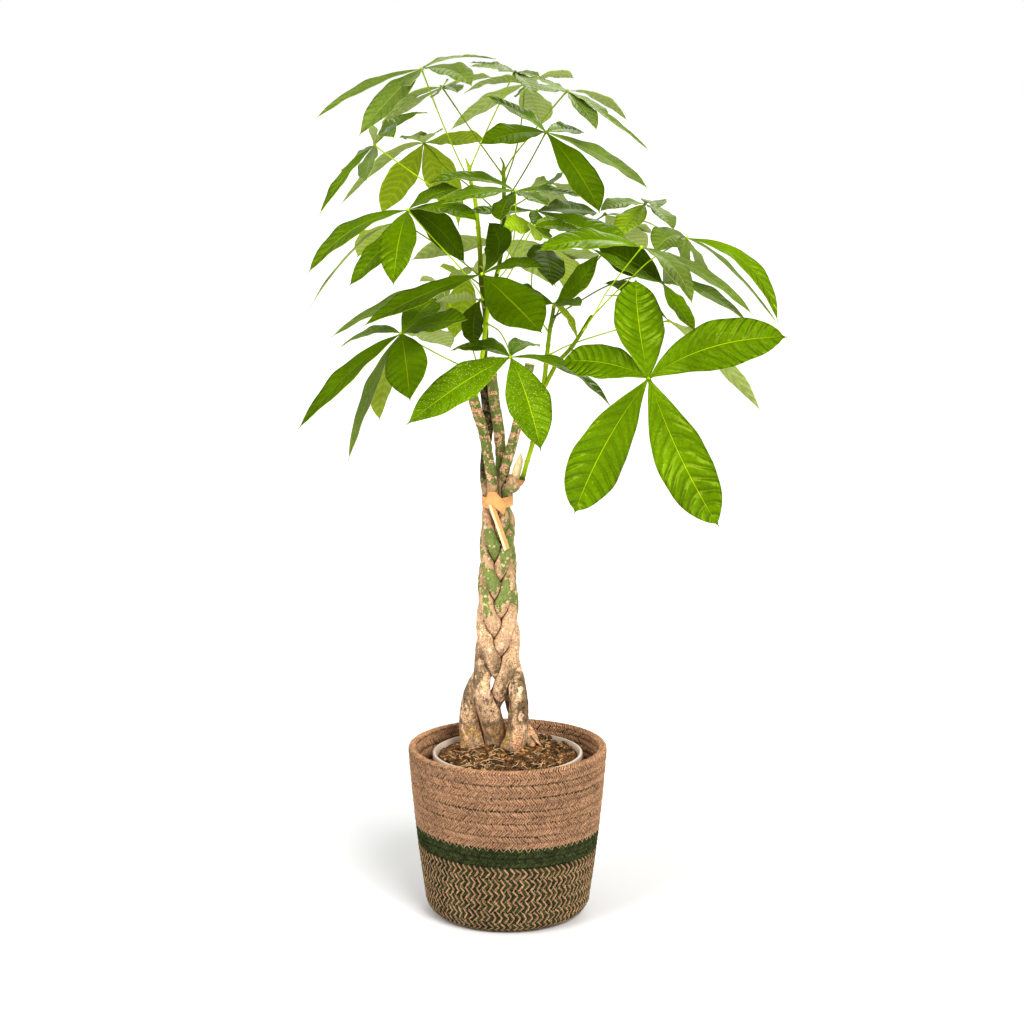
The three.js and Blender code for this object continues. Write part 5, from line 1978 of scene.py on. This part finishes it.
@dataclass
class Tie:
    """Raffia strip wound round the plait's top, with a folded flap and a hanging tail."""

    finishes: Finishes
    foot: float = 419.0
    top: float = 429.5
    across: float = -10.0
    behind: float = 8.0
    wide: float = 15.3
    deep: float = 16.4
    thickness: float = 0.5
    sides: int = 64
    levels: int = 13
    pucker: float = 0.5
    pucker_rates: Pair = (3, 4)
    rib: float = 0.55
    ribs: int = 3
    tilt: float = 1.2
    tilt_turn: float = 0.6
    flap: tuple[tuple[Triple, ...], ...] = (
        ((488.6, 491.6, -9.4), (496.4, 492.4, -10.2), (498.5, 502, -11.4), (493, 505.5, -11.2),
         (484.4, 503.4, -9.6)),
        ((496.4, 492.4, -10.2), (507.2, 505.2, -10.6), (503.4, 515, -12.6), (493, 505.5, -11.2),
         (498.5, 502, -11.4)),
        ((487.6, 503, -9.6), (490.4, 503, -10.6), (506.6, 549.6, -8.8), (504.4, 551.2, -8.4)),
        ((490.4, 503, -10.6), (494, 503.6, -9.8), (509.8, 548.4, -8.2), (506.6, 549.6, -8.8)))

    def band(self) -> Mesh:
        """Winds the band: three ribs one above the other, pulled in between.

        Returns:
            Its points and faces.
        """
        points = []
        loose, tight = self.pucker_rates
        for level in range(self.levels):
            share = level / (self.levels - 1)
            for side in range(self.sides):
                turn = side / self.sides * math.tau
                pucker = self.pucker * noise.noise(Vector((*around(loose, turn), share * tight)))
                rib = self.rib * abs(math.sin(share * math.pi * self.ribs + 0.5 * math.sin(turn * 2)))
                height = self.foot + (self.top - self.foot) * share
                height += self.tilt * math.sin(turn + self.tilt_turn)
                points.append((self.across + (self.wide + pucker + rib) * math.cos(turn),
                               self.behind + (self.deep + pucker + rib) * math.sin(turn), height))
        return np.array(points), quads(self.levels, self.sides)

    def build(self) -> None:
        """Builds the band, the flap and the tail, and gives them their thickness."""
        sheaf = Sheaf()
        sheaf.add(self.band())
        for order, corners in enumerate(self.flap):
            points = np.array([VIEW.row(corner) for corner in corners])
            sheaf.add((points, [list(range(len(corners)))[::-1]]), int(order == 2))
        piece = sheaf.piece("raffia_tie_fine", self.finishes.coats("raffia", "cut_wood"), smooth=False)
        thicken(piece, self.thickness, 0)
        dress(piece, "raffia", "raffia_tie")


# Studio


@dataclass
class Studio:
    """Plain pale floor, soft lights and the camera."""

    finishes: Finishes
    lamps: tuple[tuple[str, Triple, float], ...] = (
        ("key", (0.36, -0.74, 0.57), 2.7),
        ("fill", (-0.62, -0.5, 0.6), 1.3),
        ("rear", (0.2, 0.85, 0.5), 0.6))
    softness: float = math.radians(32)
    overhead: float = 0.5
    climb: Pair = (0.05, 0.4)
    contrast: float = 0.8
    floor: float = 40.0
    sensor: float = 36.0
    sight: float = 100.0

    def lamp(self, name: str, way: Triple, strength: float) -> None:
        """Sets a broad, far light.

        Args:
            name: its name.
            way: the way towards it.
            strength: its strength.
        """
        clear_selection()
        aim = Vector(way).to_track_quat("Z", "Y")
        bpy.ops.object.light_add(type="SUN", location=Vector(way) * 3, rotation=aim.to_euler())
        light = bpy.context.object
        light.name = name
        light.data.energy = strength
        light.data.angle = self.softness

    def surroundings(self) -> bpy.types.World:
        """Makes the surroundings: white at the horizon, dimmer overhead.

        Returns:
            The surroundings.
        """
        world = bpy.data.worlds.new("studio")
        world.use_nodes = True
        paint = Paint(world.node_tree)
        climb = paint.ramp(paint.split(paint.place(Where.SKY))[2], *self.climb)
        backdrop = world.node_tree.nodes["Background"]
        paint.feed(backdrop.inputs[0], (1, 1, 1, 1))
        paint.feed(backdrop.inputs[1], 1.0 - climb * (1 - self.overhead))
        return world

    def build(self) -> None:
        """Sets the floor, the lights, the surroundings and the camera."""
        clear_selection()
        bpy.ops.mesh.primitive_circle_add(vertices=64, radius=self.floor, fill_type="NGON",
                                          location=(0, 0, 0))
        floor = bpy.context.object
        floor.name = "studio_floor"
        floor.data.materials.append(self.finishes.other["floor"])
        for lamp in self.lamps:
            self.lamp(*lamp)
        scene = bpy.context.scene
        scene.world = self.surroundings()
        scene.view_settings.view_transform = "Standard"
        scene.view_settings.gamma = self.contrast
        bpy.ops.object.camera_add(location=VIEW.eye * MM, rotation=(math.pi / 2 - VIEW.tilt, 0, 0))
        camera = bpy.context.object
        camera.data.sensor_width = self.sensor
        camera.data.lens = VIEW.focus / (2 * VIEW.middle) * self.sensor
        camera.data.clip_end = self.sight
        scene.camera = camera


def main() -> None:
    """Builds the plant piece by piece and notes the sizes of both models."""
    logging.basicConfig(level=logging.INFO, format="%(name)s: %(message)s")
    finishes = Finishes()
    for maker in (Basket, NurseryPot, Soil, Plait, Shoots, Foliage, Tie, Studio):
        log.info("building: %s", maker.__doc__.splitlines()[0])
        maker(finishes).build()


if __name__ == "__main__":
    main()
